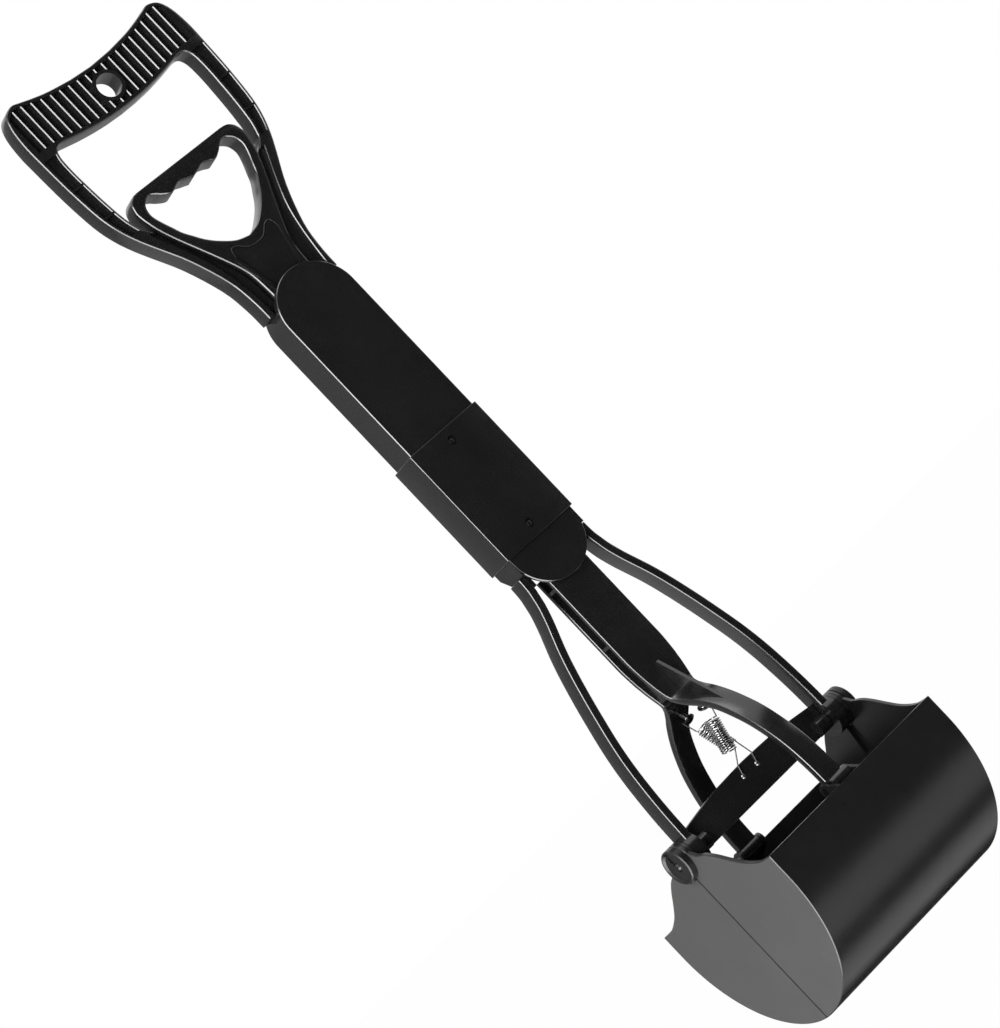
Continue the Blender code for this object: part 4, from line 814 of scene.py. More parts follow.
def grip_ribs(front):
    """Upright ribs with a pointed crest that ends a hair below the grip's face."""
    half = RIDGE_HALF_WIDTH
    deep = front + GRIP_RECESS_DEPTH + RIDGE_BURY
    crest = front + RIDGE_DROP
    section = [(-half, deep), (-half, crest + half), (0, crest), (half, crest + half), (half, deep)]
    shape = bmesh.new()
    for index in range(GRIP_RIB_COUNT):
        middle = (index - (GRIP_RIB_COUNT - 1) / 2) * GRIP_RIB_PITCH
        low, high = grip_edges(middle, GRIP_MARGIN - RIDGE_BURY)
        skin(shape, [[shape.verts.new((middle + x, y, z)) for x, y in section]
                     for z in (low, high)])
    return tool_of(shape, "grip_ribs")


def grip_low(low_run, x):
    """The opening's top edge, nearly level beyond its corner."""
    corner = max(low_run, key=lambda point: point[1])
    if abs(x) > corner[0]:
        return corner[1] + (abs(x) - corner[0]) * RECESS_FOOT_SLOPE
    return at_x(low_run, x)


def rail_pockets(front):
    """The shallow channels on the rails, broken by cross ribs."""
    levels = [SHOULDER_HEIGHT + share * FRAME_RISE for share in RAIL_RIB_SHARES]
    crest = opening_run.index(max(opening_run, key=lambda point: point[1]))
    side_run = opening_run[crest:]
    made = []
    for side in (-1, 1):
        shape = bmesh.new()
        for low, high in zip(levels, levels[1:]):
            foot, rise = low + RAIL_RIB_WIDTH / 2, high - low - RAIL_RIB_WIDTH
            heights = [foot + rise * i / POCKET_STEPS for i in range(POCKET_STEPS + 1)]
            rings = []
            for y, flare in flared(front, RAIL_RECESS_DEPTH):
                outer = [(at_height(rail_outer, h) - RAIL_LIP + flare, h) for h in heights]
                inner = [(at_height(side_run, h) + RAIL_LIP - flare, h) for h in heights]
                rings.append([shape.verts.new((side * x, y, h))
                              for x, h in outer + list(reversed(inner))])
            skin(shape, rings)
        made.append(tool_of(shape, "rail_pockets"))
    return made


def flared(front, depth):
    """Values of y, with how far a cutter's sides stand out there, for a chamfered mouth."""
    return ((front - LIP_CHAMFER, 2 * LIP_CHAMFER), (front + LIP_CHAMFER, 0.0),
            (front + depth, 0.0))


def skin(shape, rings):
    """Closes rings of points that all have the same count into a solid."""
    count = len(rings[0])
    for first, second in zip(rings, rings[1:]):
        for i in range(count):
            j = (i + 1) % count
            shape.faces.new((first[i], first[j], second[j], second[i]))
    shape.faces.new(list(reversed(rings[0])))
    shape.faces.new(rings[-1])


def tool_of(shape, name, parent=hinge_line):
    bmesh.ops.recalc_face_normals(shape, faces=shape.faces)
    return add(mesh_of(shape, name), name, parent, None, tool=True)


def bead(name, points, y, radius, parent):
    """A thin closed wire along an outline, to be joined to the face that it lies in."""
    wire = curve_of(name, [[(x, y, z) for x, z in points]], dimensions="3D", bevel_depth=radius,
                    bevel_resolution=1)
    return add(mesh_of_curve(wire), name, parent, None, tool=True)


def rail_ledges(front):
    """The lower rails drop to a ledge inside their outer ridge."""
    top = ridge_run[-1][1]
    foot = SHOULDER_HEIGHT - OVERRUN
    inside = [(stem_side_x - OVERRUN, top), (stem_side_x - OVERRUN, foot), (ridge_run[0][0], foot)]
    made = []
    for side in (-1, 1):
        shape = bmesh.new()
        skin(shape, [[shape.verts.new((side * x, y, h))
                      for x, h in [(rx + flare, rh) for rx, rh in ridge_run] + inside]
                     for y, flare in flared(front, RAIL_LEDGE_DROP)])
        made.append(tool_of(shape, "rail_ledge"))
    return made


def make_trigger():
    shank_foot = upper_fold_height + TONGUE_REACH
    shank_top = SHOULDER_HEIGHT - STEM_SHANK_DROP
    outer = [(STEM_SHANK_HALF_WIDTH, shank_foot), (STEM_SHANK_HALF_WIDTH, shank_top),
             (STEM_HALF_WIDTH, shank_top + STEM_SHOULDER_RISE)] + ring_half
    floor = SHOULDER_HEIGHT + FINGER_FLOOR_RISE
    finger_top = trigger_top - FINGER_TOP_DROP
    finger = smooth_run(
        [(0, floor)]
        + shared(FINGER_SHARES, FINGER_HALF_WIDTH, floor, finger_top)
        + [(0, floor + FINGER_CREST_SHARE * (finger_top - floor))], WAVE_STEPS)
    hole = list(reversed(mirrored(finger)))
    trigger = plate("trigger", [mirrored(outer), hole], TRIGGER_DEPTH, "XZ", trigger_axis,
                    black_plastic, edge_round=TRIGGER_EDGE_ROUND)
    front = -TRIGGER_DEPTH / 2
    rib_base = SHOULDER_HEIGHT + STEM_RIB_BASE_RISE
    rib_top = SHOULDER_HEIGHT + STEM_RIB_TOP_RISE
    panel_base = SHOULDER_HEIGHT + STEM_PANEL_BASE_RISE
    panel = shared(STEM_PANEL_SHARES, STEM_RIB_TOP_X, panel_base, floor)
    panel.append((STEM_RIB_BASE_X - STEM_RIB_WIDTH / 2, panel_base))
    border = mirrored(smooth_run(panel, WAVE_STEPS))
    cut(trigger, prisms("stem_panel", [border], front - OVERRUN, front + STEM_PANEL_DEPTH,
                        trigger_axis))
    join(trigger, bead("stem_border", border, front + STEM_BORDER_RADIUS - STEM_BORDER_PROUD,
                       STEM_BORDER_RADIUS, trigger_axis))
    half = STEM_RIB_WIDTH / 2
    for side in (-1, 1):
        outline = stadium((side * STEM_RIB_BASE_X, rib_base), (side * STEM_RIB_TOP_X, rib_top),
                          half)
        join(trigger, prisms("stem_rib", [outline], front - STEM_RIB_PROUD, front + half,
                             trigger_axis))
    join(trigger, tongue("trigger_tongue", upper_fold_height, shank_foot + SMALL_OVERLAP))
    cut(trigger, pin_hole("trigger_eye", upper_fold_height))


def tongue(name, height, root):
    """The flat eye of a rod, from its pivot to its root."""
    outline = lobe(height, root, TONGUE_RADIUS)
    return plate(name, [outline], 2 * TONGUE_HALF_WIDTH, "YZ", trigger_axis, tool=True)


def pin_hole(name, height):
    reach = CENTRE_LINK_HALF_WIDTH + OVERRUN
    return cylinder(name, CENTRE_PIN_RADIUS + SEAT_GAP, (-reach, 0, height), (reach, 0, height),
                    trigger_axis, tool=True)


def make_upper_housing():
    radius = HOUSING_HALF_WIDTH
    outline = [(-radius, upper_floor), (radius, upper_floor)] + arc(
        (0, SHOULDER_HEIGHT - UPPER_DISC_DROP), radius, 0, 180)
    housing = plate("upper_housing", [outline], 2 * HOUSING_HALF_DEPTH, "XZ", finish=black_plastic,
                    edge_round=CHAMFER)
    wall_top = SHOULDER_HEIGHT - SEAT_GAP
    cut(housing, block("upper_bore", (-housing_inner_x, -housing_inner_y, upper_fold_height),
                       (housing_inner_x, housing_inner_y, frame_top), tool=True))
    reach = FRAME_HALF_WIDTH
    cut(housing, block("upper_mouth", (-reach, -housing_inner_y, wall_top),
                       (reach, housing_inner_y, frame_top), tool=True))
    for side in (-1, 1):
        join(housing, ear_plate("upper_ear", side, upper_fold_height,
                                upper_floor + SMALL_OVERLAP))
    for side in (-1, 1):
        cut(housing, rivet_hole(side, upper_fold_height))
    cut(housing, detent_hole(sleeve_hole_heights[1], UPPER_PLATE_THICKNESS))


def lobe(pivot, root, radius):
    """An outline with a round end about a pivot and a square root above or below it."""
    if root > pivot:
        return arc((0, pivot), radius, 180, 360) + [(radius, root), (-radius, root)]
    return arc((0, pivot), radius, 0, 180) + [(-radius, root), (radius, root)]


def ear_plate(name, side, pivot, root):
    """A round-ended side ear from its pivot to its root in the housing wall."""
    outline = lobe(pivot, root, HOUSING_HALF_DEPTH - EAR_INSET)
    middle = side * (HOUSING_HALF_WIDTH - HOUSING_WALL / 2)
    return plate(name, [outline], HOUSING_WALL - 2 * EAR_INSET, "YZ", tool=True, middle=middle)


def rivet_hole(side, height):
    return cylinder("rivet_hole", RIVET_RADIUS + SEAT_GAP, (0, 0, height),
                    (side * FRAME_HALF_WIDTH, 0, height), tool=True)


def detent_hole(height, plate_thickness):
    depth = min(plate_thickness + OVERRUN, DETENT_SHANK + SEAT_GAP)
    return cylinder("detent_seat", DETENT_RADIUS + SEAT_GAP,
                    (0, -HOUSING_HALF_DEPTH - OVERRUN, height),
                    (0, -HOUSING_HALF_DEPTH + depth, height), tool=True)


def make_lower_housing():
    radius = HOUSING_HALF_WIDTH
    plate_top = lower_fold_height - LOWER_PLATE_DROP
    outline = [(radius, plate_top), (-radius, plate_top)] + arc(
        (0, sleeve_bottom - LOWER_DISC_DROP), radius, 180, 360)
    middle = HOUSING_HALF_DEPTH - LOWER_PLATE_THICKNESS / 2
    housing = plate("lower_housing", [outline], LOWER_PLATE_THICKNESS, "XZ", finish=black_plastic,
                    middle=middle, edge_round=CHAMFER)
    depth = HOUSING_HALF_DEPTH - RIDGE_DROP
    wall = [(-depth, lower_wall_floor), (depth / 2, lower_wall_floor),
            (depth, lower_wall_floor + LOWER_WALL_SLOPE)] + arc(
                (0, lower_fold_height), depth, 0, 180)
    for side in (-1, 1):
        centre = side * (HOUSING_HALF_WIDTH - HOUSING_WALL / 2)
        join(housing, plate("lower_wall", [wall], HOUSING_WALL, "YZ", tool=True, middle=centre))
    for side in (-1, 1):
        cut(housing, rivet_hole(side, lower_fold_height))
    cut(housing, detent_hole(sleeve_hole_heights[0], LOWER_PLATE_THICKNESS))


def rounded_rectangle(half_x, half_y, corner):
    outline = []
    for sx, sy, start in ((1, 1, 0), (-1, 1, 90), (-1, -1, 180), (1, -1, 270)):
        centre = (sx * (half_x - corner), sy * (half_y - corner))
        outline += arc(centre, corner, start, start + 90, CORNER_STEP_DEGREES)
    return outline


def make_lock_sleeve():
    inner_x = HOUSING_HALF_WIDTH + SEAT_GAP
    inner_y = HOUSING_HALF_DEPTH + SEAT_GAP
    outer = rounded_rectangle(inner_x + SLEEVE_WALL, inner_y + SLEEVE_WALL, SLEEVE_CORNER)
    bore = [(inner_x, -inner_y), (-inner_x, -inner_y), (-inner_x, inner_y), (inner_x, inner_y)]
    sleeve = plate("lock_sleeve", [outer, bore], SLEEVE_LENGTH, "XY", sleeve_axis,
                   black_plastic, middle=FOLD_MIDDLE_HEIGHT, edge_round=CHAMFER / 2)
    reach = inner_y + SLEEVE_WALL + OVERRUN
    for height in sleeve_hole_heights:
        cut(sleeve, cylinder("sleeve_hole", SLEEVE_HOLE_RADIUS, (0, -reach, height),
                             (0, 0, height), sleeve_axis, tool=True))


def make_detent_buttons():
    shank = HOUSING_HALF_DEPTH - DETENT_SHANK
    angles = [math.radians(90 * i / DOME_STEPS) for i in range(DOME_STEPS + 1)]
    dome = [(DETENT_RADIUS * math.sin(a), HOUSING_HALF_DEPTH - DETENT_DOME * (1 - math.cos(a)))
            for a in angles]
    profile = [(radius, top - shank) for radius, top in dome] + [(DETENT_RADIUS, 0), (0, 0)]
    for height, level in zip(sleeve_hole_heights, ("lower", "upper")):
        turned("detent_button_" + level, profile, (0, -shank, height), (0, -1, 0),
               finish=black_plastic)


def make_arms():
    """Curved arms. The tab at each top lies against the inside of the lower housing's wall."""
    top = lower_wall_floor - SEAT_GAP
    line = smooth_run([
        (ARM_TOP_SPREAD + x * (arm_spread - ARM_TOP_SPREAD), y * top) for x, y in ARM_SHARES])
    line[0] = (ARM_TOP_SPREAD, top)
    outline = (offset_run(line, -ARM_THICKNESS / 2)
               + list(reversed(offset_run(line, ARM_THICKNESS / 2))))
    outer = housing_inner_x - SEAT_GAP
    inner = outer - ARM_TAB_THICKNESS
    tab = [(inner, top - ARM_TAB_DROP), (ARM_TOP_SPREAD, top - ARM_TAB_DROP),
           (ARM_TOP_SPREAD, top - EAR_INSET), (outer, top - EAR_INSET),
           (outer, sleeve_bottom - SEAT_GAP), (inner, sleeve_bottom - SEAT_GAP)]
    tab_depth = ARM_DEPTH - 4 * ARM_EDGE_ROUND
    for side, word in ((-1, "left"), (1, "right")):
        arm = plate(word + "_arm", [flipped(outline, side)], ARM_DEPTH, "XZ",
                    finish=black_plastic, middle=ARM_FORWARD, edge_round=ARM_EDGE_ROUND)
        join(arm, plate("arm_tab", [flipped(tab, side)], tab_depth, "XZ", tool=True,
                        middle=ARM_FORWARD))
        join(arm, cylinder("arm_eye", EYE_RADIUS, (side * arm_inner_x, 0, 0),
                           (side * eye_outer_x, 0, 0), tool=True, segments=ROUND_SEGMENTS))
        cut(arm, hinge_hole(side))


def hinge_hole(side, parent=hinge_line):
    return cylinder("hinge_hole", HINGE_PIN_RADIUS + SEAT_GAP,
                    (side * (pin_inner_x - SEAT_GAP), 0, 0),
                    (side * (JAW_HALF_LENGTH + OVERRUN), 0, 0), parent, tool=True)


def make_hinge_hardware():
    cap_x = JAW_HALF_LENGTH + SEAT_GAP
    for side, word in ((-1, "left"), (1, "right")):
        tip = cap_x + CAP_THICKNESS - pin_inner_x
        profile = [(0, tip), (HINGE_TIP_RADIUS, tip), (HINGE_PIN_RADIUS, tip - CAP_STEP),
                   (HINGE_PIN_RADIUS, 0), (0, 0)]
        turned("hinge_pin_" + word, profile, (side * pin_inner_x, 0, 0), (side, 0, 0),
               finish=dark_steel)
        bore = HINGE_PIN_RADIUS + SEAT_GAP
        rim = CAP_RADIUS - CAP_STEP
        dish = CAP_THICKNESS - CAP_STEP_DEPTH
        profile = [(bore, dish), (rim - CAP_STEP, dish), (rim, CAP_THICKNESS),
                   (CAP_RADIUS - CAP_STEP / 2, CAP_THICKNESS),
                   (CAP_RADIUS, CAP_THICKNESS - CAP_STEP / 2), (CAP_RADIUS, 0), (bore, 0),
                   (bore, dish)]
        cap = turned("hinge_cap_" + word, profile, (side * cap_x, 0, 0), (side, 0, 0),
                     finish=cap_plastic, segments=ROUND_SEGMENTS)
        slot = [(x * CAP_RADIUS * -side, y * CAP_RADIUS) for x, y in CAP_SLOT_SHARES]
        slot_middle = cap_x + CAP_THICKNESS - CAP_SLOT_DEPTH / 2 + OVERRUN / 2
        cut(cap, plate("cap_slot", [slot], CAP_SLOT_DEPTH + OVERRUN, "YZ", tool=True,
                       middle=side * slot_middle))


def make_cross_bar():
    """A flat bar with a bowed top edge and a bored boss at each end for the hinge pins."""
    shoulder = (bar_end_x / 2, BAR_TOP + BAR_BOW * BAR_SHOULDER_SHARE)
    top = smooth_run([(bar_end_x, BAR_TOP), shoulder, (0, BAR_TOP + BAR_BOW)], BAR_STEPS)
    outline = mirrored([(bar_end_x, BAR_BOTTOM)] + top)
    bar = plate("cross_bar", [outline], BAR_THICKNESS, "XZ", finish=black_plastic,
                middle=-BAR_FRONT_Y - BAR_THICKNESS / 2, edge_round=CHAMFER)
    boss_x = bar_end_x - BAR_BOSS_LENGTH
    for side in (-1, 1):
        join(bar, cylinder("bar_boss", BAR_BOSS_RADIUS, (side * boss_x, 0, 0),
                           (side * (bar_end_x - EAR_INSET), 0, 0), tool=True))
        cut(bar, hinge_hole(side))
        hole = (side * BAR_HOLE_X, BAR_FRONT_Y - OVERRUN, BAR_HOLE_HEIGHT)
        cut(bar, cylinder("bar_hole", BAR_HOLE_RADIUS, hole, (hole[0], OVERRUN, hole[2]),
                          tool=True))


def jaw_side_outline(sign, outer_ear):
    """One jaw seen along X. The jaw with the outer ear keeps it whole, the other clears it."""
    top_edge = smooth_run(
        [(JAW_RADIUS, JAW_RIM_HEIGHT)]
        + [(y * JAW_RADIUS, z * JAW_RIM_HEIGHT) for y, z in JAW_TOP_SHARES])
    belly = arc((0, JAW_CENTRE_HEIGHT), JAW_RADIUS, -90, 0, JAW_STEP_DEGREES)
    belly[0] = (SEAT_GAP / 2, belly[0][1])
    if outer_ear:
        ear = arc((0, 0), EYE_RADIUS, *FRONT_EAR_DEGREES)
    else:
        ear = arc((0, 0), EYE_RADIUS + SEAT_GAP, *BACK_EAR_DEGREES)
    return flipped(belly + top_edge + ear + [(SEAT_GAP / 2, ear[-1][1])], sign)


def jaw_cavity(parent):
    radius = JAW_RADIUS - JAW_WALL
    outline = arc((0, JAW_CENTRE_HEIGHT), radius, 180, 360, JAW_STEP_DEGREES)
    outline += [(radius, EYE_RADIUS + OVERRUN), (-radius, EYE_RADIUS + OVERRUN)]
    return plate("jaw_cavity", [outline], 2 * (JAW_HALF_LENGTH - JAW_WALL), "YZ", parent,
                 tool=True)


def jaw_notches():
    """Rounded teeth gaps along the closing edge."""
    half = smooth_run([(x * NOTCH_HALF_WIDTH, y * NOTCH_DEPTH) for x, y in NOTCH_SHARES])
    tooth = mirrored([(NOTCH_HALF_WIDTH, -OVERRUN)] + half)
    last = JAW_HALF_LENGTH - JAW_WALL - NOTCH_END_INSET
    pitch = 2 * last / (NOTCH_COUNT - 1)
    return [[(index * pitch - last + x, y) for x, y in tooth] for index in range(NOTCH_COUNT)]


def make_jaw(name, sign, axis):
    outer_ear = sign < 0
    cheek_x = ARM_STRAP_HALF_WIDTH + RUNNING_GAP / 2
    jaw = plate(name, [jaw_side_outline(sign, outer_ear)], 2 * JAW_HALF_LENGTH, "YZ", axis,
                grey_plastic, edge_round=CHAMFER)
    cut(jaw, jaw_cavity(axis))
    notches = [[(x, sign * y) for x, y in tooth] for tooth in jaw_notches()]
    bottom = JAW_CENTRE_HEIGHT - JAW_RADIUS
    cut(jaw, plate("jaw_notches", notches, 4 * OVERRUN, "XY", axis, tool=True, middle=bottom))
    for side in (-1, 1):
        if not outer_ear:
            join(jaw, *inner_ear(side, sign, axis))
        join(jaw, foot_bracket(sign, axis, side * (cheek_x + BRACKET_THICKNESS / 2)))
    for side in (-1, 1):
        cut(jaw, hinge_hole(side, axis))
    reach = ARM_STRAP_HALF_WIDTH + BRACKET_THICKNESS + OVERRUN
    cut(jaw, foot_pin("jaw_pin_hole", FOOT_PIN_RADIUS + SEAT_GAP, reach, sign, axis, tool=True))
    foot_pin(name + "_pin", FOOT_PIN_RADIUS, cheek_x + BRACKET_THICKNESS, sign, axis,
             finish=bright_steel)


def foot_pin(name, radius, reach, sign, axis, **kind):
    """A round bar along the wishbone foot's pivot, as long to either side as the reach."""
    start, end = ((x, sign * foot_pin_y, FOOT_PIN_HEIGHT) for x in (-reach, reach))
    return cylinder(name, radius, start, end, axis, **kind)


def inner_ear(side, sign, axis):
    """The back jaw's ear runs inside the front jaw's: a disc and the doubler that carries it."""
    plate_inner = JAW_HALF_LENGTH - JAW_WALL
    disc_out = plate_inner - SEAT_GAP
    disc_in = eye_outer_x + SEAT_GAP
    low, high = DOUBLER_SPREAD_DEGREES
    leaf = arc((0, 0), DOUBLER_REACH, low, high) + arc((0, 0), EYE_RADIUS, high, low + 360)
    disc = plate("ear_disc", [flipped(leaf, sign)], disc_out - disc_in, "YZ", axis, tool=True,
                 middle=side * (disc_in + disc_out) / 2)
    near = EYE_RADIUS + 2 * SEAT_GAP
    far = DOUBLER_REACH - SEAT_GAP
    low, high = low + DOUBLER_EASE_DEGREES, high - DOUBLER_EASE_DEGREES
    web = arc((0, 0), far, low, high) + arc((0, 0), near, high, low)
    joggle_in = disc_out - SMALL_OVERLAP
    joggle_out = plate_inner + SMALL_OVERLAP
    joggle = plate("ear_joggle", [flipped(web, sign)], joggle_out - joggle_in, "YZ", axis,
                   tool=True, middle=side * (joggle_in + joggle_out) / 2)
    return disc, joggle


def foot_bracket(sign, axis, x):
    """A cheek from the jaw's wall to the pin of the wishbone foot."""
    wall = JAW_RADIUS - JAW_WALL / 2
    fall = BRACKET_FALL_SHARE * BRACKET_RADIUS
    outline = [(wall, FOOT_PIN_HEIGHT - fall), (wall, JAW_RIM_HEIGHT)]
    outline += arc((foot_pin_y, FOOT_PIN_HEIGHT), BRACKET_RADIUS, *BRACKET_DEGREES,
                   BRACKET_STEP_DEGREES)
    return plate("foot_bracket", [flipped(outline, sign)], BRACKET_THICKNESS, "YZ", axis,
                 tool=True, middle=x)


def lofted(name, sections, parent, finish):
    """A bar through rings of points that all have the same count."""
    shape = bmesh.new()
    skin(shape, [[shape.verts.new(point) for point in ring] for ring in sections])
    bmesh.ops.recalc_face_normals(shape, faces=shape.faces)
    return add(mesh_of(shape, name), name, parent, finish)


def strap_reach(sign):
    """How far the straight strap's middle is from the axis. The rod sits a little forward."""
    return ROD_HALF_DEPTH - ROD_FLANGE / 2 - sign * ROD_FORWARD


def wishbone_line(sign):
    """The strap's middle line, as (reach from the axis, height), from the rod to the foot."""
    inner = strap_reach(sign)
    foot = foot_pin_y
    return smooth_run([
        (inner + x * (foot - inner), FOOT_PIN_HEIGHT + y * (TAPER_TOP - FOOT_PIN_HEIGHT))
        for x, y in WISHBONE_SHARES])


def along(line):
    """Share of the line's length at each of its points."""
    lengths = [0.0]
    for (x0, y0), (x1, y1) in zip(line, line[1:]):
        lengths.append(lengths[-1] + math.hypot(x1 - x0, y1 - y0))
    return [length / lengths[-1] for length in lengths]


def eased(shares, share):
    for (s0, v0), (s1, v1) in zip(shares, shares[1:]):
        if s0 <= share <= s1:
            return v0 + (v1 - v0) * (share - s0) / (s1 - s0)
    return shares[-1][1]


def strap_section(sign, centre, normal, half_width, thickness):
    """A rounded rectangle: x across the strap, the normal through its thickness."""
    corners = rounded_rectangle(half_width, thickness / 2, STRAP_CORNER)
    return [(x, sign * (centre[0] + depth * normal[0]), centre[1] + depth * normal[1])
            for x, depth in corners]


def make_wishbone(name, sign, notched):
    line = wishbone_line(sign)
    shares = along(line)
    normals = line_normals(line)
    inner = strap_reach(sign)
    sections = [strap_section(sign, (inner, rod_strap_top), (1, 0), ROD_HALF_WIDTH, ROD_FLANGE)]
    for point, normal, share in zip(line, normals, shares):
        sections.append(strap_section(sign, point, normal, strap_half_width(share),
                                      strap_thickness(share)))
    strap = lofted(name, sections, trigger_axis, black_plastic)
    if notched:
        notch = [(-ROD_HALF_WIDTH, rod_strap_top + OVERRUN), (0, rod_strap_top - ROD_NOTCH_DEPTH),
                 (ROD_HALF_WIDTH, rod_strap_top + OVERRUN)]
        cut(strap, prisms("strap_notch", [notch], sign * inner - OVERRUN,
                          sign * inner + OVERRUN, trigger_axis))
    join(strap, bend_web(sign, line),
         foot_stadium("strap_foot", sign, foot_slot_radius + FOOT_WALL, FOOT_PROUD))
    cut(strap, foot_stadium("foot_slot", sign, foot_slot_radius, OVERRUN),
        anchor_hole(sign, line, normals, shares))


def strap_half_width(share):
    taper = eased(STRAP_TAPER_SHARES, share)
    return ROD_HALF_WIDTH + (ARM_STRAP_HALF_WIDTH - ROD_HALF_WIDTH) * taper


def strap_thickness(share):
    return ROD_FLANGE + (ARM_STRAP_THICKNESS - ROD_FLANGE) * eased(STRAP_THICKEN_SHARES, share)


def bend_web(sign, line):
    """The thin straight-edged web that stiffens the bend on the strap's outer face."""
    inner = strap_reach(sign)
    inside = [point for point in line if WEB_FOOT < point[1] < WEB_TOP]
    outline = [(inner, WEB_TOP)] + inside
    outline.append((at_height(line, WEB_FOOT) + WEB_FOOT_REACH, WEB_FOOT))
    outline.append((inner + ROD_FLANGE / 2 + WEB_PROUD, WEB_TOP))
    return plate("bend_web", [flipped(outline, sign)], 2 * WEB_HALF_WIDTH, "YZ", trigger_axis,
                 tool=True)


def foot_stadium(name, sign, radius, proud):
    """A prism round the foot's slot, that stands out of the strap's two sides."""
    reach = math.hypot(foot_pin_y, FOOT_PIN_HEIGHT)
    outline = stadium((foot_pin_y, FOOT_PIN_HEIGHT), (reach, FOOT_PIN_HEIGHT), radius)
    return plate(name, [flipped(outline, sign)], 2 * (ARM_STRAP_HALF_WIDTH + proud), "YZ",
                 trigger_axis, tool=True)


def anchor_place(sign, line, normals, shares):
    """Point on the strap's inner face and the direction that leaves it."""
    index = min(range(len(line)), key=lambda i: abs(shares[i] - ANCHOR_SHARE))
    half = strap_thickness(shares[index]) / 2
    point, normal = line[index], normals[index]
    face = Vector((0, sign * (point[0] - normal[0] * half), point[1] - normal[1] * half))
    return face, Vector((0, -sign * normal[0], -normal[1]))


def anchor_hole(sign, line, normals, shares):
    face, way = anchor_place(sign, line, normals, shares)
    depth = ANCHOR_DEPTH + SEAT_GAP
    return cylinder("anchor_hole", ANCHOR_RADIUS + SEAT_GAP, face + way * OVERRUN,
                    face - way * depth, trigger_axis, tool=True)


def make_anchor(name, sign):
    line = wishbone_line(sign)
    face, way = anchor_place(sign, line, line_normals(line), along(line))
    neck = ANCHOR_DEPTH + ANCHOR_REACH
    profile = [(0, neck + ANCHOR_HEAD_THICKNESS),
               (ANCHOR_HEAD_RADIUS / 2, neck + ANCHOR_HEAD_THICKNESS),
               (ANCHOR_HEAD_RADIUS, neck + ANCHOR_HEAD_THICKNESS / 2), (ANCHOR_HEAD_RADIUS, neck),
               (ANCHOR_RADIUS, neck), (ANCHOR_RADIUS, 0), (0, 0)]
    turned(name, profile, face - way * ANCHOR_DEPTH, way, trigger_axis, dark_steel)
    return face + way * (ANCHOR_REACH - SPRING_WIRE_RADIUS - SEAT_GAP), way


def make_rod_core():
    half_depth = ROD_HALF_DEPTH - ROD_FLANGE - SEAT_GAP
    front = -half_depth - ROD_FORWARD
    back = half_depth - ROD_FORWARD
    foot = lower_fold_height - TONGUE_REACH
    core = block("rod_core", (-ROD_CORE_HALF_WIDTH, front, ROD_CORE_BOTTOM),
                 (ROD_CORE_HALF_WIDTH, back, foot), trigger_axis, black_plastic)
    line = wishbone_line(1)
    heights = [(share, point[1]) for share, point in zip(along(line), line)]
    for height in ROD_RIB_HEIGHTS:
        reach = strap_half_width(at_height(heights, height)) - ROD_RIB_INSET
        join(core, block("rod_rib", (-reach, front, height - ROD_RIB_THICKNESS / 2),
                         (reach, back, height + ROD_RIB_THICKNESS / 2), trigger_axis, tool=True))
    join(core, tongue("rod_tongue", lower_fold_height, foot - SMALL_OVERLAP))
    cut(core, pin_hole("rod_eye", lower_fold_height))


def spring_points(hook, way, hole, across, curls):
    """A loop round the anchor's neck, the coil and a tail through the bar: one open path."""
    front_y = BAR_FRONT_Y - SEAT_GAP - SPRING_WIRE_RADIUS
    down = (Vector((hole.x, front_y, hole.z)) - hook).normalized()
    back_up = (across.cross(way)).normalized()
    if back_up.dot(down) > 0:
        back_up = -back_up
    loop_radius = ANCHOR_RADIUS + SEAT_GAP + SPRING_WIRE_RADIUS
    pass_x = ANCHOR_HEAD_RADIUS + 2 * SEAT_GAP + SPRING_WIRE_RADIUS
    points = []
    for step in range(SPRING_HOOK_POINTS):
        angle = math.radians(SPRING_HOOK_DEGREES * (1 - step / (SPRING_HOOK_POINTS - 1)))
        points.append(hook + across * loop_radius * math.cos(angle)
                      + back_up * loop_radius * math.sin(angle))
    points[-1] = hook + across * pass_x
    side = (across - down * across.dot(down)).normalized()
    out = side.cross(down)
    start = hook + down * (SPRING_COIL_TOP - hook.z) / down.z
    points.append(start + side * SPRING_COIL_RADIUS - down * SPRING_PITCH)
    for step in range(round(curls * SPRING_POINTS_PER_CURL) + 1):
        turn = step / SPRING_POINTS_PER_CURL
        angle = 2 * math.pi * turn
        points.append(start + down * turn * SPRING_PITCH
                      + (side * math.cos(angle) + out * math.sin(angle)) * SPRING_COIL_RADIUS)
    points.append(Vector((hole.x + SPRING_TAIL_LEAN, front_y, BAR_TOP + BAR_BOW)))
    points.append(Vector((hole.x, front_y, hole.z + BAR_HOLE_RADIUS / 2)))
    points.append(Vector((hole.x, front_y + SPRING_WIRE_RADIUS, hole.z)))
    points.append(Vector((hole.x, BAR_FRONT_Y + BAR_THICKNESS + SPRING_WIRE_RADIUS, hole.z)))
    return points


def make_spring(name, hook, way, hole_x, curls):
    """A spring that leaves the anchor on the side away from its hole."""
    hole = Vector((hole_x, BAR_FRONT_Y + BAR_THICKNESS / 2, BAR_HOLE_HEIGHT))
    across = Vector((-math.copysign(1, hole_x), 0, 0))
    wire = curve_of(name, [spring_points(hook, way, hole, across, curls)], closed=False,
                    dimensions="3D", bevel_depth=SPRING_WIRE_RADIUS,
                    bevel_resolution=TUBE_FACETS, use_fill_caps=True)
    add(wire, name, hinge_line, bright_steel)


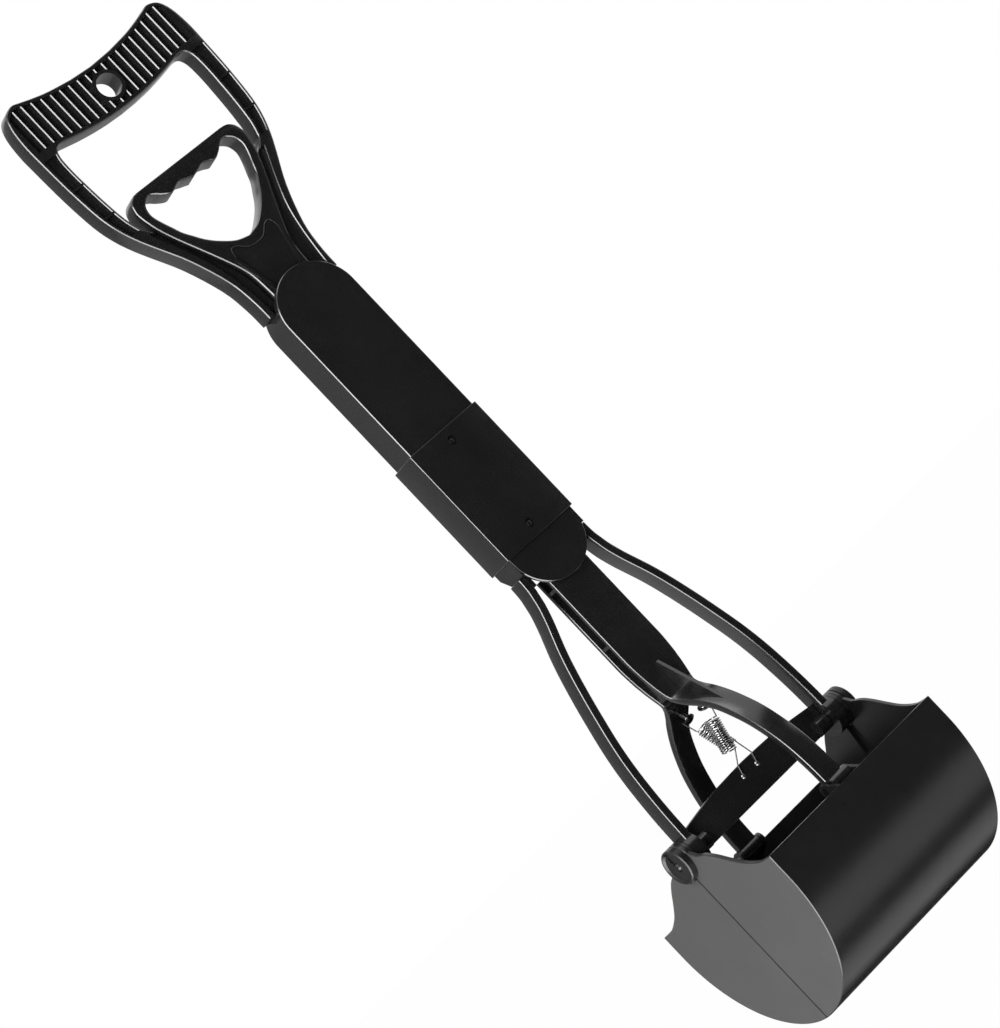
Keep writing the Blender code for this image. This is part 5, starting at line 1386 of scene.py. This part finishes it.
# Places that several pieces share
fold_half_gap = HOUSING_HALF_DEPTH + SEAT_GAP / 2
upper_fold_height = FOLD_MIDDLE_HEIGHT + fold_half_gap
lower_fold_height = FOLD_MIDDLE_HEIGHT - fold_half_gap
upper_floor = upper_fold_height + UPPER_FLOOR_RISE
sleeve_bottom = FOLD_MIDDLE_HEIGHT - SLEEVE_LENGTH / 2
sleeve_top = FOLD_MIDDLE_HEIGHT + SLEEVE_LENGTH / 2
sleeve_hole_heights = (sleeve_bottom + DETENT_INSET, sleeve_top - DETENT_INSET)
lower_wall_floor = sleeve_bottom - LOWER_WALL_DROP
rod_strap_top = lower_fold_height - ROD_STRAP_DROP
eye_outer_x = JAW_HALF_LENGTH - JAW_WALL - EAR_THICKNESS - 2 * SEAT_GAP
arm_spread = eye_outer_x - EYE_BOSS_REACH
arm_inner_x = arm_spread - ARM_THICKNESS / 2
bar_end_x = arm_inner_x - SEAT_GAP
pin_inner_x = bar_end_x - BAR_BORE_DEPTH
foot_pin_y = JAW_RADIUS - FOOT_PIN_INSET
foot_slot_radius = FOOT_PIN_RADIUS + FOOT_SLOT_PLAY

make_handle_frame()
make_trigger()
make_upper_housing()
make_lower_housing()
make_lock_sleeve()
make_detent_buttons()
make_arms()
make_hinge_hardware()
make_cross_bar()
make_jaw("front_jaw", -1, front_jaw_axis)
make_jaw("back_jaw", 1, back_jaw_axis)
make_wishbone("front_wishbone", -1, False)
make_wishbone("back_wishbone", 1, True)
make_rod_core()
front_hook, front_way = make_anchor("spring_anchor_front", -1)
back_hook, back_way = make_anchor("spring_anchor_back", 1)
make_spring("spring_front", front_hook, front_way, -BAR_HOLE_X, SPRING_CURLS)
make_spring("spring_back", back_hook, back_way, BAR_HOLE_X, SPRING_CURLS - SPRING_HALF_TURN)


def end_plate_faces(mesh):
    """The jaws' flat ends get a much lighter colour than the shell, painted light for the side
    light they catch; the faces where the two jaws meet get a darker colour, painted shade in the
    gap between them.
    """
    mesh.materials.append(end_face_painted_light)
    mesh.materials.append(seam_painted_shade)
    edge = JAW_HALF_LENGTH - CHAMFER / 4
    for face in mesh.polygons:
        # Painted light: the end faces, which face the side light, take the much lighter colour
        if abs(face.normal.x) > END_FACE_LEVEL and abs(face.center.x) > edge:
            face.material_index = 1
        # Painted shade in the gap where the two jaws meet
        elif abs(face.center.y) < 2 * CHAMFER:
            face.material_index = 2


def finished_mesh(source, graph):
    mesh = bpy.data.meshes.new_from_object(source.evaluated_get(graph), depsgraph=graph)
    mesh.transform(source.matrix_world)
    shape = bmesh.new()
    shape.from_mesh(mesh)
    bmesh.ops.remove_doubles(shape, verts=shape.verts, dist=SEAT_GAP / 100)
    bmesh.ops.dissolve_degenerate(shape, dist=SEAT_GAP / 100, edges=shape.edges)
    shape.to_mesh(mesh)
    shape.free()
    mesh.shade_smooth()
    mesh.set_sharp_from_angle(angle=math.radians(SHARP_DEGREES))
    return mesh


def dress():
    """Each source becomes one mesh that stands for its node and rides on the node's body; the
    springs stay fixed where they are built.
    """
    bpy.context.view_layer.update()
    graph = bpy.context.evaluated_depsgraph_get()
    body_of = {node: body for body, names in record["behaviour"]["bodies"].items()
               for node in names}
    slot_of = {row["node"]: row["material_slot"] for row in record["subparts"]}
    sources = [obj for obj in parts.objects if obj.type != "EMPTY"]
    meshes = [(obj.name.replace(SOURCE_MARK, ""), finished_mesh(obj, graph)) for obj in sources]
    for obj in list(parts.objects) + list(cutters.objects):
        bpy.data.objects.remove(obj, do_unlink=True)
    for node, mesh in meshes:
        if node in ("front_jaw", "back_jaw"):
            end_plate_faces(mesh)
        piece = bpy.data.objects.new(node + "_look", mesh)
        bpy.context.scene.collection.objects.link(piece)
        if node in SPRINGS:
            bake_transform(piece)
        else:
            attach(piece, body_of[node])
        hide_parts(node)
    made = {node for node, mesh in meshes}
    for node, obj in nodes.items():
        if node not in made:
            obj.data.materials.clear()
            obj.data.materials.append(FINISH[slot_of[node]])


def camera():
    lens = bpy.data.cameras.new("photo_camera")
    lens.lens = CAMERA_LENS
    lens.sensor_width = CAMERA_SENSOR
    lens.sensor_fit = "HORIZONTAL"
    lens.clip_end = 100
    made = bpy.data.objects.new("photo_camera", lens)
    bpy.context.scene.collection.objects.link(made)
    made.location = CAMERA_PLACE
    turn = Matrix.Rotation(math.radians(CAMERA_HEADING_DEGREES), 4, "Z")
    tilt = Matrix.Rotation(math.radians(90 + CAMERA_PITCH_DEGREES), 4, "X")
    roll = Matrix.Rotation(math.radians(CAMERA_ROLL_DEGREES), 4, "Z")
    made.rotation_euler = (turn @ tilt @ roll).to_euler()
    bpy.context.scene.camera = made


def stage():
    world = bpy.data.worlds.new("studio")
    bpy.context.scene.world = world
    tree = Nodes(world)
    tree.nodes.clear()
    rays = tree.add("ShaderNodeLightPath").outputs
    shown = tree.maths("MAXIMUM", rays["Is Camera Ray"], rays["Is Glossy Ray"])
    seen = tree.maths("MAXIMUM", shown, rays["Is Transmission Ray"])
    fill = tree.add("ShaderNodeBackground", Color=WHITE, Strength=WORLD_FILL)
    white = tree.add("ShaderNodeBackground", Color=WHITE, Strength=1.0)
    tree.show_mix(seen, fill, white, tree.add("ShaderNodeOutputWorld"))

    floor = sheet("floor", FLOOR_SIZE, FLOOR_SIZE)
    floor.location = (0, 0, cad_low.z - FLOOR_DROP)
    pale = bpy.data.materials.new("pale_floor")
    tree = Nodes(pale)
    tree.shader.inputs["Base Color"].default_value = FLOOR_COLOUR
    tree.shader.inputs["Roughness"].default_value = FLOOR_ROUGHNESS
    tree.shader.inputs["Specular IOR Level"].default_value = 0.0
    rays = tree.add("ShaderNodeLightPath").outputs
    share = tree.maths("MULTIPLY", rays["Is Camera Ray"], FLOOR_WHITE_SHARE)
    glow = tree.add("ShaderNodeEmission", Strength=1.0)
    tree.show_mix(share, tree.shader, glow, tree.nodes["Material Output"])
    floor.data.materials.append(pale)


def sheet(name, width, height):
    """A flat stage piece about its own middle."""
    shape = bmesh.new()
    bmesh.ops.create_grid(shape, x_segments=1, y_segments=1, size=0.5)
    mesh = bpy.data.meshes.new(name)
    shape.to_mesh(mesh)
    shape.free()
    made = bpy.data.objects.new(name, mesh)
    bpy.context.scene.collection.objects.link(made)
    made.scale = (width, height, 1)
    return made


def round_the_tool(azimuth, distance, height=0.0):
    angle = math.radians(azimuth)
    return (distance * math.cos(angle), distance * math.sin(angle), LIGHT_MIDDLE[2] + height)


def face_tool(obj, place):
    obj.location = place
    way = Vector(LIGHT_MIDDLE) - Vector(place)
    obj.rotation_euler = way.to_track_quat("-Z", "Y").to_euler()


def area_light(name, place, size, radiance):
    lamp = bpy.data.lights.new(name, "AREA")
    lamp.shape = "RECTANGLE"
    lamp.size, lamp.size_y = size
    lamp.energy = radiance * math.pi * size[0] * size[1]
    made = bpy.data.objects.new(name, lamp)
    bpy.context.scene.collection.objects.link(made)
    made.visible_camera = False
    face_tool(made, place)


def reflected_card(name, place, width, height, level):
    """A flag that only reflections see: it keeps the white room out of a face's sheen."""
    card = sheet(name, width, height)
    face_tool(card, place)
    card.visible_camera = False
    card.visible_diffuse = False
    card.visible_shadow = False
    tone = bpy.data.materials.new(name)
    tree = Nodes(tone)
    glow = tree.add("ShaderNodeEmission", Strength=level)
    tree.feed(glow.outputs[0], tree.nodes["Material Output"].inputs["Surface"])
    card.data.materials.append(tone)
    return card


def lights():
    area_light("strip_left", round_the_tool(*STRIP_PLACE), STRIP_SIZE, STRIP_RADIANCE)
    area_light("top_soft", TOP_LAMP_PLACE, TOP_LAMP_SIZE, TOP_LAMP_RADIANCE)
    area_light("right_soft", round_the_tool(*RIGHT_LAMP_PLACE), RIGHT_LAMP_SIZE,
               RIGHT_LAMP_RADIANCE)
    for name, azimuth, distance, size, level in UPRIGHT_CARDS:
        reflected_card(name, round_the_tool(azimuth, distance), *size, level)
    low = cad_low.z - FLOOR_DROP + LOW_CARD_LIFT
    for name, place, size, azimuth, level in LOW_CARDS:
        card = reflected_card(name, (*place, low), *size, level)
        card.rotation_euler = (0, 0, math.radians(azimuth))


camera()
dress()
stage()
lights()
bpy.context.scene.view_settings.view_transform = "Standard"
